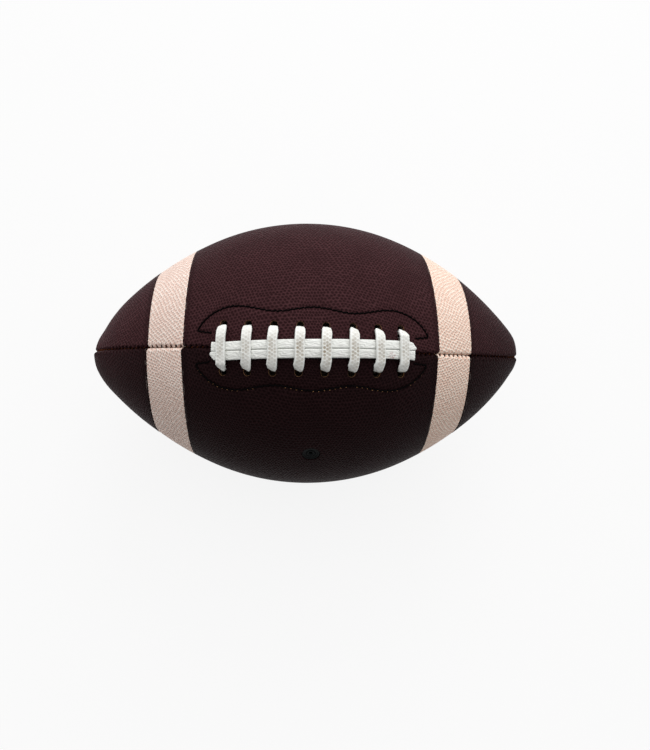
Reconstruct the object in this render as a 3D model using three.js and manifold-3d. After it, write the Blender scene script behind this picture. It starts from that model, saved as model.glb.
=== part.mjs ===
// An American football: four lined cover panels sewn round a bladder and drawn shut by one lace.
// Millimetres, +Z up. The ball lies along X with its laces on top, and rests on the plane z = 0.
// A place on the ball is given by s, the arc along its profile from the middle towards +X, by t,
// the arc round it from the lace seam towards +Y, and by a height above its skin.

import * as THREE from "three";
import { mergeVertices } from "three/addons/utils/BufferGeometryUtils.js";
import Module from "manifold-3d";

const wasm = await Module();
wasm.setup();

// Outer form: a belly arc, a shoulder arc and a round nose, each tangent to the next
const LENGTH = 282.6;
const GIRTH = 536.6;
const NOSE_RADIUS = 21.5;
const BELLY_ANGLE = 23.7; // degrees that the skin leans where the belly meets the shoulder
const NOSE_ANGLE = 52.2; // degrees that it leans where the shoulder meets the nose
const TIP_OPENING = 4; // across the hole where the four panels meet
const REST_FLAT_DEPTH = 0.5; // how far the belly is pressed flat where the ball lies

// Layers, from the skin inwards
const COVER_THICKNESS = 1.8;
const LINING_THICKNESS = 1.2;
const LINING_TIP_RADIUS = 9; // how near the linings and the bladder come to the ball's axis
const BLADDER_WALL = 0.9;
const FIT = 0.3; // gap between pieces that touch

// Sewn edges of the panels
const SEAM_GAP = 0.7;
const EDGE_ROLL = 2.2; // radius of the rolled edge, and thickness of the lip that is turned in
const FULL_EDGE_RADIUS = 12; // nearer the axis than this, a panel's edge is drawn in
const THREAD_DIAMETER = 0.6;
const SEAM_THREAD_DEPTH = 1;
const SEAM_THREAD_END_RADIUS = 12; // how near the seam threads come to the ball's axis

// Stripes let into the cover
const STRIPE_FROM_TIP = 70.3; // measured along the skin
const STRIPE_WIDTH = 26.3;
const STRIPE_THICKNESS = 0.6;
const STRIPE_WRAP = 45; // degrees that a stripe follows the rolled edge into the seam
const RECESS_SLOPE = 0.2; // run of the sloped ends of a stripe's recess
const SEWING_STAGGER = 1.2; // how far the front panels are sewn towards -X

// Lace and its holes
const CROSSINGS = 8;
const LACE_PITCH = 14.75;
const LACE_WIDTH = 5.9;
const LACE_THICKNESS = 2.2;
const LACE_GAP = 0.6; // least air between two runs of the lace
const BUNCH_WIDTH = 3.2; // the lace where it is squeezed in a hole or round a turn
const BUNCH_THICKNESS = 2.5;
const INNER_WIDTH = 4.4; // the lace where it is pressed flat inside the ball
const INNER_THICKNESS = 1.5;
const LACE_FLAT_SHARE = 0.72; // part of the lace's width between its rounded edges
const LACE_BEND = 1.8; // bend radius of the lace where it enters a hole
const LACE_DIVE = 45; // degrees from the skin beyond which the lace is diving into a hole
const LACE_RISE = 1.3; // height of the lace's bend above the rim of a hole
const HOLE_OFFSET = 12.4; // from the lace seam to the lace in its hole
const HOLE_CLEARANCE = 0.6; // from a bunched lace to the wall of its hole
const HOLE_SHOWN = 1.5; // what a hole shows beyond the lace
const TAIL_REACH = 5.8; // from the last crossing to the cut end of the lace
const TURN_REACH = 7; // from the last crossing to the corner where the lace turns back
const TURN_OFFSET = 2.1; // from the lace seam to that corner

// Facing behind the lace holes, the line of stitches that holds it, and the tongue
const FACING_BASE = 22.6; // from the lace seam to the middle of the wavy line of stitches
const FACING_WAVE = 1.4;
const FACING_WAVELENGTH = 43.5;
const FACING_LOBE = 25; // length of the rounded end of the line
const FACING_LOBE_POWER = 0.75; // 0.5 would make that end an ellipse
const FACING_CORNER = 9.2; // from the lace seam to the corner where the line turns back
const FACING_MARGIN = 2.5; // what the facing extends beyond its stitches
const FACING_STITCH_RETURN = 9; // length of the line past its corner
const LACE_END_MARGIN = 12.5; // from the last crossing to the end of the tongue
const TONGUE_HALF_WIDTH = 17;
const TONGUE_THICKNESS = 1.2;
const TONGUE_END_POWER = 4; // 2 would make the tongue an ellipse
const DIMPLE_MARGIN = 5; // how far the bladder clears the tongue before it rises
const DIMPLE_SLOPE = 16;

// Valve, in the middle of the front lace panel
const VALVE_ANGLE = 45;
const VALVE_DIAMETER = 10.4;
const VALVE_RECESS = 0.9;
const VALVE_RIM_WIDTH = 0.9;
const VALVE_RIM_HEIGHT = 0.4;
const VALVE_DEPTH = 15;
const VALVE_FLANGE_DIAMETER = 16;
const VALVE_FLANGE_THICKNESS = 1.2;
const PLUG_DIAMETER = 5;
const PLUG_DOME = 0.3;
const NEEDLE_HOLE_DIAMETER = 1.8;
const NEEDLE_HOLE_MOUTH = 2.6;
const NEEDLE_HOLE_DEPTH = 10;

// Fineness of the faceted surfaces
const PANEL_FACETS = 7; // round one panel, from seam to seam
const COVER_RINGS = { laces: 4, shoulder: 3, nose: 3 }; // in each stretch of a panel's half
const LINING_RINGS = { laces: 2, shoulder: 2 };
const TONGUE_RINGS = 6; // in half the tongue
const TONGUE_FACETS = 3;
const LACE_STEP = 9;
const BEND_STEP = 40; // degrees
const THREAD_SIDES = 4;
const THREAD_STEP = 9;
const FACING_STEP = 4.5;
const ROUND_SEGMENTS = 20;
const HOLE_SEGMENTS = 2; // in each half-round end of a hole
const STRAIGHT_ANGLE = 1; // degrees that a route turns by where it still counts as straight
const PROBE_STEP = 0.75; // between the rings on which the lace's gap to itself is measured
const PROBES_PER_SIDE = 3;

const radians = THREE.MathUtils.degToRad;
const quarter = Math.PI / 2;
const radius = GIRTH / (2 * Math.PI);
const axisHeight = radius - REST_FLAT_DEPTH;

// The arcs of the profile, from the middle to the tip. The radii of the belly and the shoulder
// follow from the length and the girth that they have to reach together.
const arcs = profileArcs();
const tipArc = arcs.at(-1).to;

function profileArcs() {
  const belly = radians(BELLY_ANGLE);
  const nose = radians(NOSE_ANGLE);
  const reach = LENGTH / 2 - NOSE_RADIUS * (1 - Math.sin(nose));
  const fall = radius - NOSE_RADIUS * Math.cos(nose);
  const bellyReach = Math.sin(belly);
  const bellyFall = 1 - Math.cos(belly);
  const shoulderReach = Math.sin(nose) - bellyReach;
  const shoulderFall = Math.cos(belly) - Math.cos(nose);
  const scale = bellyReach * shoulderFall - shoulderReach * bellyFall;
  const bellyRadius = (reach * shoulderFall - shoulderReach * fall) / scale;
  const shoulderRadius = (bellyReach * fall - bellyFall * reach) / scale;
  const turns = [
    { bend: bellyRadius, end: belly },
    { bend: shoulderRadius, end: nose },
    { bend: NOSE_RADIUS, end: quarter },
  ];
  const pieces = [];
  let start = { from: 0, lean: 0, x: 0, r: radius };
  for (const { bend, end } of turns) {
    const to = start.from + bend * (end - start.lean);
    pieces.push({ ...start, bend, to });
    const x = start.x + bend * (Math.sin(end) - Math.sin(start.lean));
    const r = start.r - bend * (Math.cos(start.lean) - Math.cos(end));
    start = { from: to, lean: end, x, r };
  }
  return pieces;
}

// The skin at s: its place along the ball, its distance from the axis, and its lean
function profile(s) {
  const along = Math.abs(s);
  const arc = arcs.find((piece) => along <= piece.to) ?? arcs.at(-1);
  const lean = arc.lean + (along - arc.from) / arc.bend;
  const x = arc.x + arc.bend * (Math.sin(lean) - Math.sin(arc.lean));
  const r = arc.r - arc.bend * (Math.cos(arc.lean) - Math.cos(lean));
  return { x: Math.sign(s) * x, r, lean: Math.sign(s) * lean };
}

// The arc from the middle at which the nose is this far from the axis
function arcAtRadius(r) {
  const nose = arcs.at(-1);
  return nose.from + nose.bend * (Math.acos(r / nose.bend) - nose.lean);
}

function place(s, angle, height) {
  const { x, r, lean } = profile(s);
  const out = r + height * Math.cos(lean);
  return new THREE.Vector3(
    x + height * Math.sin(lean),
    out * Math.sin(angle),
    out * Math.cos(angle),
  );
}

// Directions at a place: along the profile, round the ball and out of the skin
function directions(s, angle) {
  const { lean } = profile(s);
  const round = new THREE.Vector3(0, Math.cos(angle), -Math.sin(angle));
  const out = new THREE.Vector3(
    Math.sin(lean),
    Math.cos(lean) * Math.sin(angle),
    Math.cos(lean) * Math.cos(angle),
  );
  return { along: round.clone().cross(out), round, out };
}

// Joins rings of points into one closed body. The outline is the first ring laid flat.
function loft(rings, outline) {
  const count = rings[0].length;
  const index = [];
  for (let i = 0; i + 1 < rings.length; i += 1) {
    for (let j = 0; j < count; j += 1) {
      const here = i * count + j;
      const beside = i * count + ((j + 1) % count);
      index.push(here, here + count, beside + count);
      index.push(here, beside + count, beside);
    }
  }
  const last = (rings.length - 1) * count;
  for (const [a, b, c] of THREE.ShapeUtils.triangulateShape(outline, [])) {
    index.push(a, c, b);
    index.push(last + a, last + b, last + c);
  }
  const points = rings.flat().flatMap((point) => point.toArray());
  const geometry = new THREE.BufferGeometry();
  geometry.setAttribute("position", new THREE.Float32BufferAttribute(points, 3));
  geometry.setIndex(index);
  return geometry;
}

function toSolid(geometry) {
  const bare = geometry.clone();
  bare.deleteAttribute("normal");
  bare.deleteAttribute("uv");
  const merged = mergeVertices(bare);
  const vertProperties = new Float32Array(merged.attributes.position.array);
  const triVerts = new Uint32Array(merged.index.array);
  return new wasm.Manifold(new wasm.Mesh({ numProp: 3, vertProperties, triVerts }));
}

function toGeometry(solid) {
  const { vertProperties, triVerts } = solid.getMesh();
  const geometry = new THREE.BufferGeometry();
  geometry.setAttribute("position", new THREE.BufferAttribute(vertProperties, 3));
  geometry.setIndex(new THREE.BufferAttribute(triVerts, 1));
  return geometry;
}

// Removes every cutter's space from a shape
function cut(geometry, cutters) {
  const whole = toSolid(geometry);
  return toGeometry(cutters.reduce((rest, cutter) => rest.subtract(toSolid(cutter)), whole));
}

function common(geometry, other) {
  return toGeometry(toSolid(geometry).intersect(toSolid(other)));
}

// A body that follows the skin: section(s) lists its corners as [angle, depth], going round the
// ball on the outside and back on the inside
function layer(stops, section, start = 0) {
  const rings = stops.map((s) => {
    return section(s).map(([angle, depth]) => place(s, start + angle, -depth));
  });
  return loft(rings, seenAlongAxis(rings[0]));
}

function seenAlongAxis(ring) {
  return ring.map((point) => new THREE.Vector2(point.y, point.z));
}

function divide(from, to, parts) {
  return Array.from({ length: parts }, (_, i) => from + ((to - from) * i) / parts);
}

// How far the middle of a chord lies inside its arc
function chordSag(bend, angle) {
  return bend * (1 - Math.cos(angle / 2));
}

function mirrored(half) {
  return [...half.slice(1).reverse().map((s) => -s), ...half];
}

// Where the rings of the cover stand, and the fewer rings of what lies under it
const lastCrossing = (LACE_PITCH * (CROSSINGS - 1)) / 2;
const laceEnd = lastCrossing + LACE_END_MARGIN;
const stripeOuter = tipArc - STRIPE_FROM_TIP;
const stripeInner = stripeOuter - STRIPE_WIDTH;
const noseStart = arcs.at(-1).from;
const coverEnd = arcAtRadius(TIP_OPENING / 2);
const liningEnd = arcAtRadius(LINING_TIP_RADIUS);
const coverHalf = [
  ...divide(0, laceEnd, COVER_RINGS.laces),
  laceEnd,
  stripeInner,
  ...divide(stripeOuter, noseStart, COVER_RINGS.shoulder),
  ...divide(noseStart, coverEnd, COVER_RINGS.nose),
  coverEnd,
];
const liningStops = mirrored([
  ...divide(0, laceEnd, LINING_RINGS.laces),
  laceEnd,
  stripeInner,
  ...divide(stripeOuter, noseStart, LINING_RINGS.shoulder),
  noseStart,
  liningEnd,
]);

// Depths of the layers under the skin. A facet lies up to facetSag below the curve it stands for.
const liningTop = COVER_THICKNESS + FIT;
const liningBottom = liningTop + LINING_THICKNESS;
const sagRound = chordSag(radius, quarter / PANEL_FACETS);
const sagAlong = chordSag(arcs[0].bend, laceEnd / COVER_RINGS.laces / arcs[0].bend);
const facetSag = sagRound + sagAlong;
const innerRun = liningBottom + facetSag + LACE_GAP + INNER_THICKNESS / 2;
const lowerRun = innerRun + INNER_THICKNESS + LACE_GAP;
const tongueTop = lowerRun + INNER_THICKNESS / 2 + FIT;
const tongueBottom = tongueTop + TONGUE_THICKNESS;
const bladderTop = liningBottom + FIT;

// A panel's sewn edge at s: half the seam's gap, the roll, and the depth of the lip turned in
function edgeAt(s) {
  const share = Math.min(1, profile(s).r / FULL_EDGE_RADIUS);
  return {
    gap: (share * SEAM_GAP) / 2,
    roll: share * EDGE_ROLL,
    fit: share * FIT,
    lip: COVER_THICKNESS + share * (FIT + LINING_THICKNESS),
  };
}

// The angle from a seam at which a point of this depth is this far across from the seam's plane
function seamAngle(s, across, depth) {
  const { r, lean } = profile(s);
  return Math.asin(across / (r - depth * Math.cos(lean)));
}

// The angles from one seam to the next at which every layer has its corners
function facetAngles(s) {
  const { gap, roll, fit } = edgeAt(s);
  const first = seamAngle(s, gap + roll + fit, 0);
  return [...divide(first, quarter - first, PANEL_FACETS), quarter - first];
}

// Turns corners given as [across, depth] at the first seam into both edges of a panel
function edges(s, corners) {
  const first = corners.map(([across, depth]) => [seamAngle(s, across, depth), depth]);
  const second = first.map(([angle, depth]) => [quarter - angle, depth]).reverse();
  return { first, second };
}

// The two ends of the ball, towards -X and +X
const ends = [-1, 1];

// The middle of a panel's stripe at one end of the ball
function stripeMiddle(panel, end) {
  return (end * (stripeInner + stripeOuter)) / 2 + panel.shift;
}

// Half the length of the recess that a stripe lies in, up to the foot of its sloped ends
const recessHalf = STRIPE_WIDTH / 2 + FIT;

// The rings of a panel, with a pair of rings at each end of a recess
function coverStops(panel) {
  const plain = mirrored(coverHalf).filter((s) => {
    const margin = recessHalf + SEWING_STAGGER;
    return ends.every((end) => Math.abs(s - stripeMiddle(panel, end)) >= margin);
  });
  const halves = [recessHalf, recessHalf + RECESS_SLOPE];
  const steps = ends.flatMap((end) => {
    const middle = stripeMiddle(panel, end);
    return halves.flatMap((half) => [middle - half, middle + half]);
  });
  return [...plain, ...steps].sort((a, b) => a - b);
}

// How far the skin is sunk for a stripe at s
function recessDepth(panel, s) {
  const inRecess = ends.some((end) => {
    return Math.abs(s - stripeMiddle(panel, end)) < recessHalf + RECESS_SLOPE / 2;
  });
  return inRecess ? STRIPE_THICKNESS + FIT : 0;
}

// A corner at an angle of a rolled edge, sunk below the skin
function rolledCorner(s, sunk, wrap) {
  const { gap, roll } = edgeAt(s);
  const bend = roll - sunk;
  return [gap + roll - bend * Math.sin(wrap), roll - bend * Math.cos(wrap)];
}

function coverSection(s, sunk) {
  const { gap, roll, lip } = edgeAt(s);
  const outer = surface(s, sunk, [
    [gap + roll, lip],
    [gap, lip],
    [gap, roll],
    rolledCorner(s, sunk, radians(STRIPE_WRAP)),
    [gap + roll, sunk],
  ]);
  const inner = surface(s, COVER_THICKNESS, [[gap + roll, COVER_THICKNESS]]);
  return [...outer, ...inner.toReversed()];
}

// One surface of a layer from seam to seam, at a depth, between edges with the given corners
function surface(s, depth, corners) {
  const { first, second } = edges(s, corners);
  const angles = facetAngles(s).slice(1, -1);
  return [...first, ...angles.map((angle) => [angle, depth]), ...second];
}

function liningSection(s) {
  const { gap, roll, fit } = edgeAt(s);
  const across = gap + roll + fit;
  const top = surface(s, liningTop, [[across, liningTop]]);
  const bottom = surface(s, liningBottom, [[across, liningBottom]]);
  return [...top, ...bottom.toReversed()];
}

// A stripe follows the skin and wraps over both rolled edges
function stripeSection(s) {
  const { gap, roll } = edgeAt(s);
  const [top, bottom] = [0, STRIPE_THICKNESS].map((depth) => {
    return surface(s, depth, [rolledCorner(s, depth, radians(STRIPE_WRAP)), [gap + roll, depth]]);
  });
  return [...top, ...bottom.toReversed()];
}

function stripe(panel, end) {
  const middle = stripeMiddle(panel, end);
  const stops = [middle - STRIPE_WIDTH / 2, middle + STRIPE_WIDTH / 2];
  return layer(stops, stripeSection, panel.start);
}

// The line of stitches round the lace holes: a wave along the panel with rounded ends
const waveEnd = FACING_WAVELENGTH;
const facingEnd = waveEnd + FACING_LOBE;

function stitchLine(s) {
  const along = Math.abs(s);
  if (along <= waveEnd) {
    return FACING_BASE + FACING_WAVE * Math.cos((2 * Math.PI * along) / FACING_WAVELENGTH);
  }
  const share = Math.min(1, (along - waveEnd) / FACING_LOBE);
  const lobeHeight = FACING_BASE + FACING_WAVE - FACING_CORNER;
  return FACING_CORNER + lobeHeight * (1 - share ** 2) ** FACING_LOBE_POWER;
}

// The space of a lace facing and a margin round it, through the whole depth of the lining
function facingSpace(side, margin) {
  const end = facingEnd + margin;
  const stops = mirrored([...divide(0, end, Math.ceil(end / (2 * FACING_STEP))), end]);
  const top = 0;
  const bottom = 2 * liningBottom;
  const section = (s) => {
    const out = (stitchLine(s) + margin) / profile(s).r;
    const corners = [
      [0, top],
      [out, top],
      [out, bottom],
      [0, bottom],
    ];
    return side > 0 ? corners : corners.map(([angle, depth]) => [-angle, depth]).reverse();
  };
  return layer(stops, section);
}

// A plug along the skin's normal, with round ends, that reaches through every layer at the laces
function laceHole(s, side, from, to, width) {
  const round = width / 2;
  const shape = new THREE.Shape();
  shape.absarc(0, from + round, round, Math.PI, 2 * Math.PI, false);
  shape.absarc(0, to - round, round, 0, Math.PI, false);
  const depth = 2 * (liningBottom + facetSag + FIT);
  const plug = new THREE.ExtrudeGeometry(shape, {
    depth,
    bevelEnabled: false,
    curveSegments: HOLE_SEGMENTS,
  });
  plug.translate(0, -(from + to) / 2, -depth / 2);
  const angle = (side * (from + to)) / 2 / profile(s).r;
  const { along, round: around, out } = directions(s, angle);
  along.multiplyScalar(side);
  around.multiplyScalar(side);
  const turned = new THREE.Matrix4().makeBasis(along, around, out);
  plug.applyMatrix4(turned.setPosition(place(s, angle, 0)));
  return plug;
}

// The hole that the lace passes twice has its second run nearer the seam
const secondPass = HOLE_OFFSET - BUNCH_THICKNESS - LACE_GAP;

function laceHoles(side) {
  const inset = BUNCH_THICKNESS / 2 + HOLE_CLEARANCE;
  const to = HOLE_OFFSET + BUNCH_THICKNESS / 2 + HOLE_SHOWN;
  const width = BUNCH_WIDTH + 2 * HOLE_CLEARANCE;
  return crossingStops().map((s, i) => {
    const passedTwice = i === (side > 0 ? CROSSINGS - 1 : 0);
    const from = (passedTwice ? secondPass : HOLE_OFFSET) - inset;
    return laceHole(s, side, from, to, width);
  });
}

function crossingStops() {
  return Array.from({ length: CROSSINGS }, (_, i) => i * LACE_PITCH - lastCrossing);
}

// Panels in order round the ball, each starting at a seam
const panels = [
  { name: "lace_rear", start: 0, side: 1, shift: 0 },
  { name: "base_rear", start: quarter, side: 0, shift: 0 },
  { name: "base_front", start: 2 * quarter, side: 0, shift: -SEWING_STAGGER },
  { name: "lace_front", start: 3 * quarter, side: -1, shift: -SEWING_STAGGER },
];

function valveHole() {
  const bore = new THREE.CylinderGeometry(
    VALVE_DIAMETER / 2 + FIT,
    VALVE_DIAMETER / 2 + FIT,
    2 * VALVE_DEPTH,
    ROUND_SEGMENTS,
  );
  bore.translate(0, radius, 0);
  return bore.rotateX(quarter + radians(VALVE_ANGLE));
}

// The ground that flattens the belly under the back seam
function restGround() {
  const ground = new THREE.BoxGeometry(LENGTH, 2 * radius, radius);
  return ground.translate(0, 0, -axisHeight - radius / 2);
}

function cutsFor(panel) {
  const holes = panel.side === 0 ? [] : laceHoles(panel.side);
  return panel.side < 0 ? [...holes, valveHole()] : holes;
}

function cover(panel) {
  const section = (s) => coverSection(s, recessDepth(panel, s));
  const blank = layer(coverStops(panel), section, panel.start);
  const ground = panel.side === 0 ? [restGround()] : [];
  return cut(blank, [...ground, ...cutsFor(panel)]);
}

function lining(panel) {
  const blank = layer(liningStops, liningSection, panel.start);
  if (panel.side === 0) {
    return blank;
  }
  const cleared = facingSpace(panel.side, FACING_MARGIN + FIT);
  return cut(blank, panel.side < 0 ? [cleared, valveHole()] : [cleared]);
}

function facing(panel) {
  const blank = layer(mirrored(coverHalf).slice(1, -1), liningSection, panel.start);
  return cut(common(blank, facingSpace(panel.side, FACING_MARGIN)), laceHoles(panel.side));
}

// The tongue: a pad with round ends under the inner runs of the lace
function tongue() {
  const stops = mirrored([...divide(0, laceEnd, TONGUE_RINGS), laceEnd - FIT]);
  const section = (s) => {
    const rounding = Math.sqrt(1 - (s / laceEnd) ** TONGUE_END_POWER);
    const edge = (TONGUE_HALF_WIDTH * rounding) / profile(s).r;
    const angles = [...divide(-edge, edge, TONGUE_FACETS), edge];
    return [
      ...angles.map((angle) => [angle, tongueTop]),
      ...angles.toReversed().map((angle) => [angle, tongueBottom]),
    ];
  };
  return layer(stops, section);
}

// How deep the bladder lies at a place: close under the linings, and pressed in by the tongue
function bladderDepth(s, angle) {
  const fromSeam = Math.abs(Math.atan2(Math.sin(angle), Math.cos(angle))) * profile(s).r;
  const fullWidth = TONGUE_HALF_WIDTH + DIMPLE_MARGIN;
  const across = 1 - THREE.MathUtils.smoothstep(fromSeam, fullWidth, fullWidth + DIMPLE_SLOPE);
  const along = 1 - THREE.MathUtils.smoothstep(Math.abs(s), laceEnd, stripeInner);
  const pressed = tongueBottom + FIT - bladderTop;
  return bladderTop + pressed * across * along;
}

function bladderForm(inset) {
  const rings = liningStops.map((s) => {
    return panels.flatMap(({ start }) => {
      return facetAngles(s).map((angle) => {
        return place(s, start + angle, -bladderDepth(s, start + angle) - inset);
      });
    });
  });
  return loft(rings, seenAlongAxis(rings[0]));
}

function bladder() {
  return cut(bladderForm(0), [bladderForm(BLADDER_WALL), valveHole()]);
}

// A piece turned about the valve's axis, from corners given as [radius, height above the skin]
function turnedAtValve(corners) {
  const points = corners.map(([across, height]) => new THREE.Vector2(across, radius + height));
  return new THREE.LatheGeometry([...points, points[0]], ROUND_SEGMENTS);
}

function valveHousing() {
  const outer = VALVE_DIAMETER / 2;
  const bore = PLUG_DIAMETER / 2 + FIT;
  const face = -VALVE_RECESS;
  const rim = face + VALVE_RIM_HEIGHT;
  const flange = VALVE_FLANGE_DIAMETER / 2;
  const droop = radius - Math.sqrt(radius ** 2 - flange ** 2);
  const flangeTop = -(bladderTop + BLADDER_WALL + facetSag + droop + FIT);
  const flangeBottom = flangeTop - VALVE_FLANGE_THICKNESS;
  return turnedAtValve([
    [bore, -VALVE_DEPTH],
    [outer, -VALVE_DEPTH],
    [outer, flangeBottom],
    [flange, flangeBottom],
    [flange, flangeTop],
    [outer, flangeTop],
    [outer, rim],
    [outer - VALVE_RIM_WIDTH, rim],
    [outer - VALVE_RIM_WIDTH, face],
    [bore, face],
  ]);
}

function valvePlug() {
  const outer = PLUG_DIAMETER / 2;
  const needle = NEEDLE_HOLE_DIAMETER / 2;
  const mouth = NEEDLE_HOLE_MOUTH / 2;
  const face = -VALVE_RECESS;
  const funnel = face - (mouth - needle);
  return turnedAtValve([
    [0, -VALVE_DEPTH],
    [outer, -VALVE_DEPTH],
    [outer, face],
    [(outer + mouth) / 2, face + PLUG_DOME],
    [mouth, face],
    [needle, funnel],
    [needle, face - NEEDLE_HOLE_DEPTH],
    [0, face - NEEDLE_HOLE_DEPTH],
  ]);
}

// A thread along a row of points
function thread(points) {
  const circle = new THREE.Path().absarc(0, 0, THREAD_DIAMETER / 2, 0, 2 * Math.PI);
  const corners = circle.getSpacedPoints(THREAD_SIDES).slice(1);
  const path = new THREE.CatmullRomCurve3(points);
  return new THREE.ExtrudeGeometry(new THREE.Shape(corners), {
    steps: Math.ceil(path.getLength() / THREAD_STEP),
    bevelEnabled: false,
    extrudePath: path,
  });
}

function seamThread(angle, from, to) {
  const parts = Math.ceil((to - from) / (2 * THREAD_STEP));
  const stops = [...divide(from, to, parts), to];
  return thread(stops.map((s) => place(s, angle, -SEAM_THREAD_DEPTH)));
}

// The stitches of a facing, from under one end of the lace, along the wave, to the other
function facingThread(side) {
  const height = FIT + THREAD_DIAMETER / 2;
  const back = facingEnd - FACING_STITCH_RETURN;
  const inner = FACING_CORNER - THREAD_DIAMETER;
  const waveStop = facingEnd - THREAD_DIAMETER;
  const wave = [...divide(0, waveStop, Math.ceil(facingEnd / FACING_STEP)), waveStop];
  const line = [
    [-back, inner],
    [-facingEnd, FACING_CORNER],
    ...mirrored(wave).map((s) => [s, stitchLine(s)]),
    [facingEnd, FACING_CORNER],
    [back, inner],
  ];
  return thread(line.map(([s, t]) => place(s, (side * t) / profile(s).r, height)));
}

// The lace's sections as [width, thickness]
const fullLace = [LACE_WIDTH, LACE_THICKNESS];
const rimLace = [(LACE_WIDTH + BUNCH_WIDTH) / 2, LACE_THICKNESS];
const bunchedLace = [BUNCH_WIDTH, BUNCH_THICKNESS];
const innerLace = [INNER_WIDTH, INNER_THICKNESS];

// Two strands lie side by side on the seam, and the crossings pass over both
const strandOffset = (LACE_GAP + LACE_WIDTH) / 2;
const strandHeight = FIT + LACE_THICKNESS / 2;
const crossingHeight = strandHeight + LACE_THICKNESS + LACE_GAP;
const holeBottom = -(liningBottom + facetSag);

function corner(s, t, height, size, bend = LACE_BEND) {
  return { at: new THREE.Vector3(s, t, height), size: new THREE.Vector2(...size), bend };
}

// One crossing, up out of its front hole, over the strands and down into its rear hole
function crossing(s, isFirst, isLast) {
  const shelf = strandOffset + fullLace[0] / 2 + LACE_GAP;
  const raised = Math.max(shelf, secondPass + LACE_GAP);
  const half = (side, passedTwice) => [
    corner(s, side * (passedTwice ? raised : shelf), crossingHeight, fullLace),
    corner(s, side * HOLE_OFFSET, LACE_RISE, rimLace),
    corner(s, side * HOLE_OFFSET, 0, bunchedLace),
    corner(s, side * HOLE_OFFSET, holeBottom, bunchedLace),
    corner(s, side * HOLE_OFFSET, passedTwice ? -lowerRun : -innerRun, innerLace),
  ];
  return [...half(-1, isFirst).reverse(), ...half(1, isLast)];
}

// The end of a strand: past the last crossing it turns back, goes under it and into its hole
function strandEnd() {
  const bunchStart = lastCrossing - LACE_PITCH / 2;
  return [
    corner(-lastCrossing - TAIL_REACH, strandOffset, strandHeight, fullLace),
    corner(bunchStart, strandOffset, strandHeight, fullLace),
    corner(lastCrossing + TURN_REACH, TURN_OFFSET, strandHeight, bunchedLace),
    corner(lastCrossing, secondPass, strandHeight, bunchedLace),
    corner(lastCrossing, secondPass, holeBottom, bunchedLace),
    corner(lastCrossing, secondPass, -innerRun, innerLace),
  ];
}

// The whole route: strand, crossings from the right end to the left, and the other strand, which
// is the first one turned half round the middle of the lacing
function laceCorners() {
  const route = strandEnd();
  crossingStops()
    .toReversed()
    .forEach((s, i) => {
      const isLast = i === 0;
      const isFirst = i === CROSSINGS - 1;
      route.push(...crossing(s, isFirst, isLast));
      if (isLast || i === CROSSINGS - 2) {
        route.push(corner(s - LACE_PITCH / 2, 0, -lowerRun, innerLace));
      }
    });
  const turned = strandEnd().map((point) => {
    return { ...point, at: point.at.clone().multiply(new THREE.Vector3(-1, -1, 1)) };
  });
  return [...route, ...turned.reverse()];
}

function turnAngle(corners, i) {
  if (i === 0 || i === corners.length - 1) {
    return 0;
  }
  const before = corners[i].at.clone().sub(corners[i - 1].at);
  const after = corners[i + 1].at.clone().sub(corners[i].at);
  return before.angleTo(after);
}

// Rounds each corner of a route by an arc of its bend radius, as far as its two legs allow
function roundCorners(corners) {
  const straight = radians(STRAIGHT_ANGLE);
  const leg = (i, j) => {
    const whole = corners[i].at.distanceTo(corners[j].at);
    return turnAngle(corners, j) < straight ? whole : whole / 2;
  };
  return corners.flatMap((point, i) => {
    const angle = turnAngle(corners, i);
    if (angle < straight) {
      return [point];
    }
    const reach = Math.min(point.bend * Math.tan(angle / 2), leg(i, i - 1), leg(i, i + 1));
    const [entry, exit] = [corners[i - 1], corners[i + 1]].map((other) => {
      return between(point, other, reach / point.at.distanceTo(other.at));
    });
    const steps = Math.max(2, Math.ceil(angle / radians(BEND_STEP)));
    const shares = [...divide(0, 1, steps), 1];
    return shares.map((share) => arcPoint(entry, point, exit, angle, share));
  });
}

// A sample of a route between two others
function between(here, there, share) {
  return {
    at: here.at.clone().lerp(there.at, share),
    size: here.size.clone().lerp(there.size, share),
  };
}

// A point of the arc that touches both legs of a corner
function arcPoint(entry, point, exit, angle, share) {
  const halfAngle = angle / 2;
  const swept = share * angle - halfAngle;
  const chord = exit.at.clone().sub(entry.at);
  const bend = chord.length() / 2 / Math.sin(halfAngle);
  const middle = entry.at.clone().lerp(exit.at, 1 / 2);
  const outward = point.at.clone().sub(middle).normalize();
  const { size } = between(entry, exit, share);
  const at = middle
    .addScaledVector(chord.normalize(), bend * Math.sin(swept))
    .addScaledVector(outward, bend * (Math.cos(swept) - Math.cos(halfAngle)));
  return { at, size };
}

// Adds points between those that lie further apart than a step
function refine(points, step) {
  return points.flatMap((point, i) => {
    if (i + 1 === points.length) {
      return [point];
    }
    const next = points[i + 1];
    const parts = Math.ceil(point.at.distanceTo(next.at) / step);
    return divide(0, 1, parts).map((share) => between(point, next, share));
  });
}

// The lace's cross-sections along its route, each a ring of points
function laceRings(step) {
  const samples = refine(roundCorners(laceCorners()), step);
  const angleOf = ({ at }) => at.y / profile(at.x).r;
  const path = samples.map((sample) => place(sample.at.x, angleOf(sample), sample.at.z));
  const tangents = path.map((_, i) => {
    const before = path[Math.max(0, i - 1)];
    const after = path[Math.min(path.length - 1, i + 1)];
    return after.clone().sub(before).normalize();
  });
  const sides = laceSides(samples, tangents, angleOf);
  return samples.map(({ size }, i) => {
    const across = sides[i];
    const through = tangents[i].clone().cross(across);
    return laceOutline(size).map(({ x, y }) => {
      return path[i].clone().addScaledVector(across, x).addScaledVector(through, y);
    });
  });
}

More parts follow.
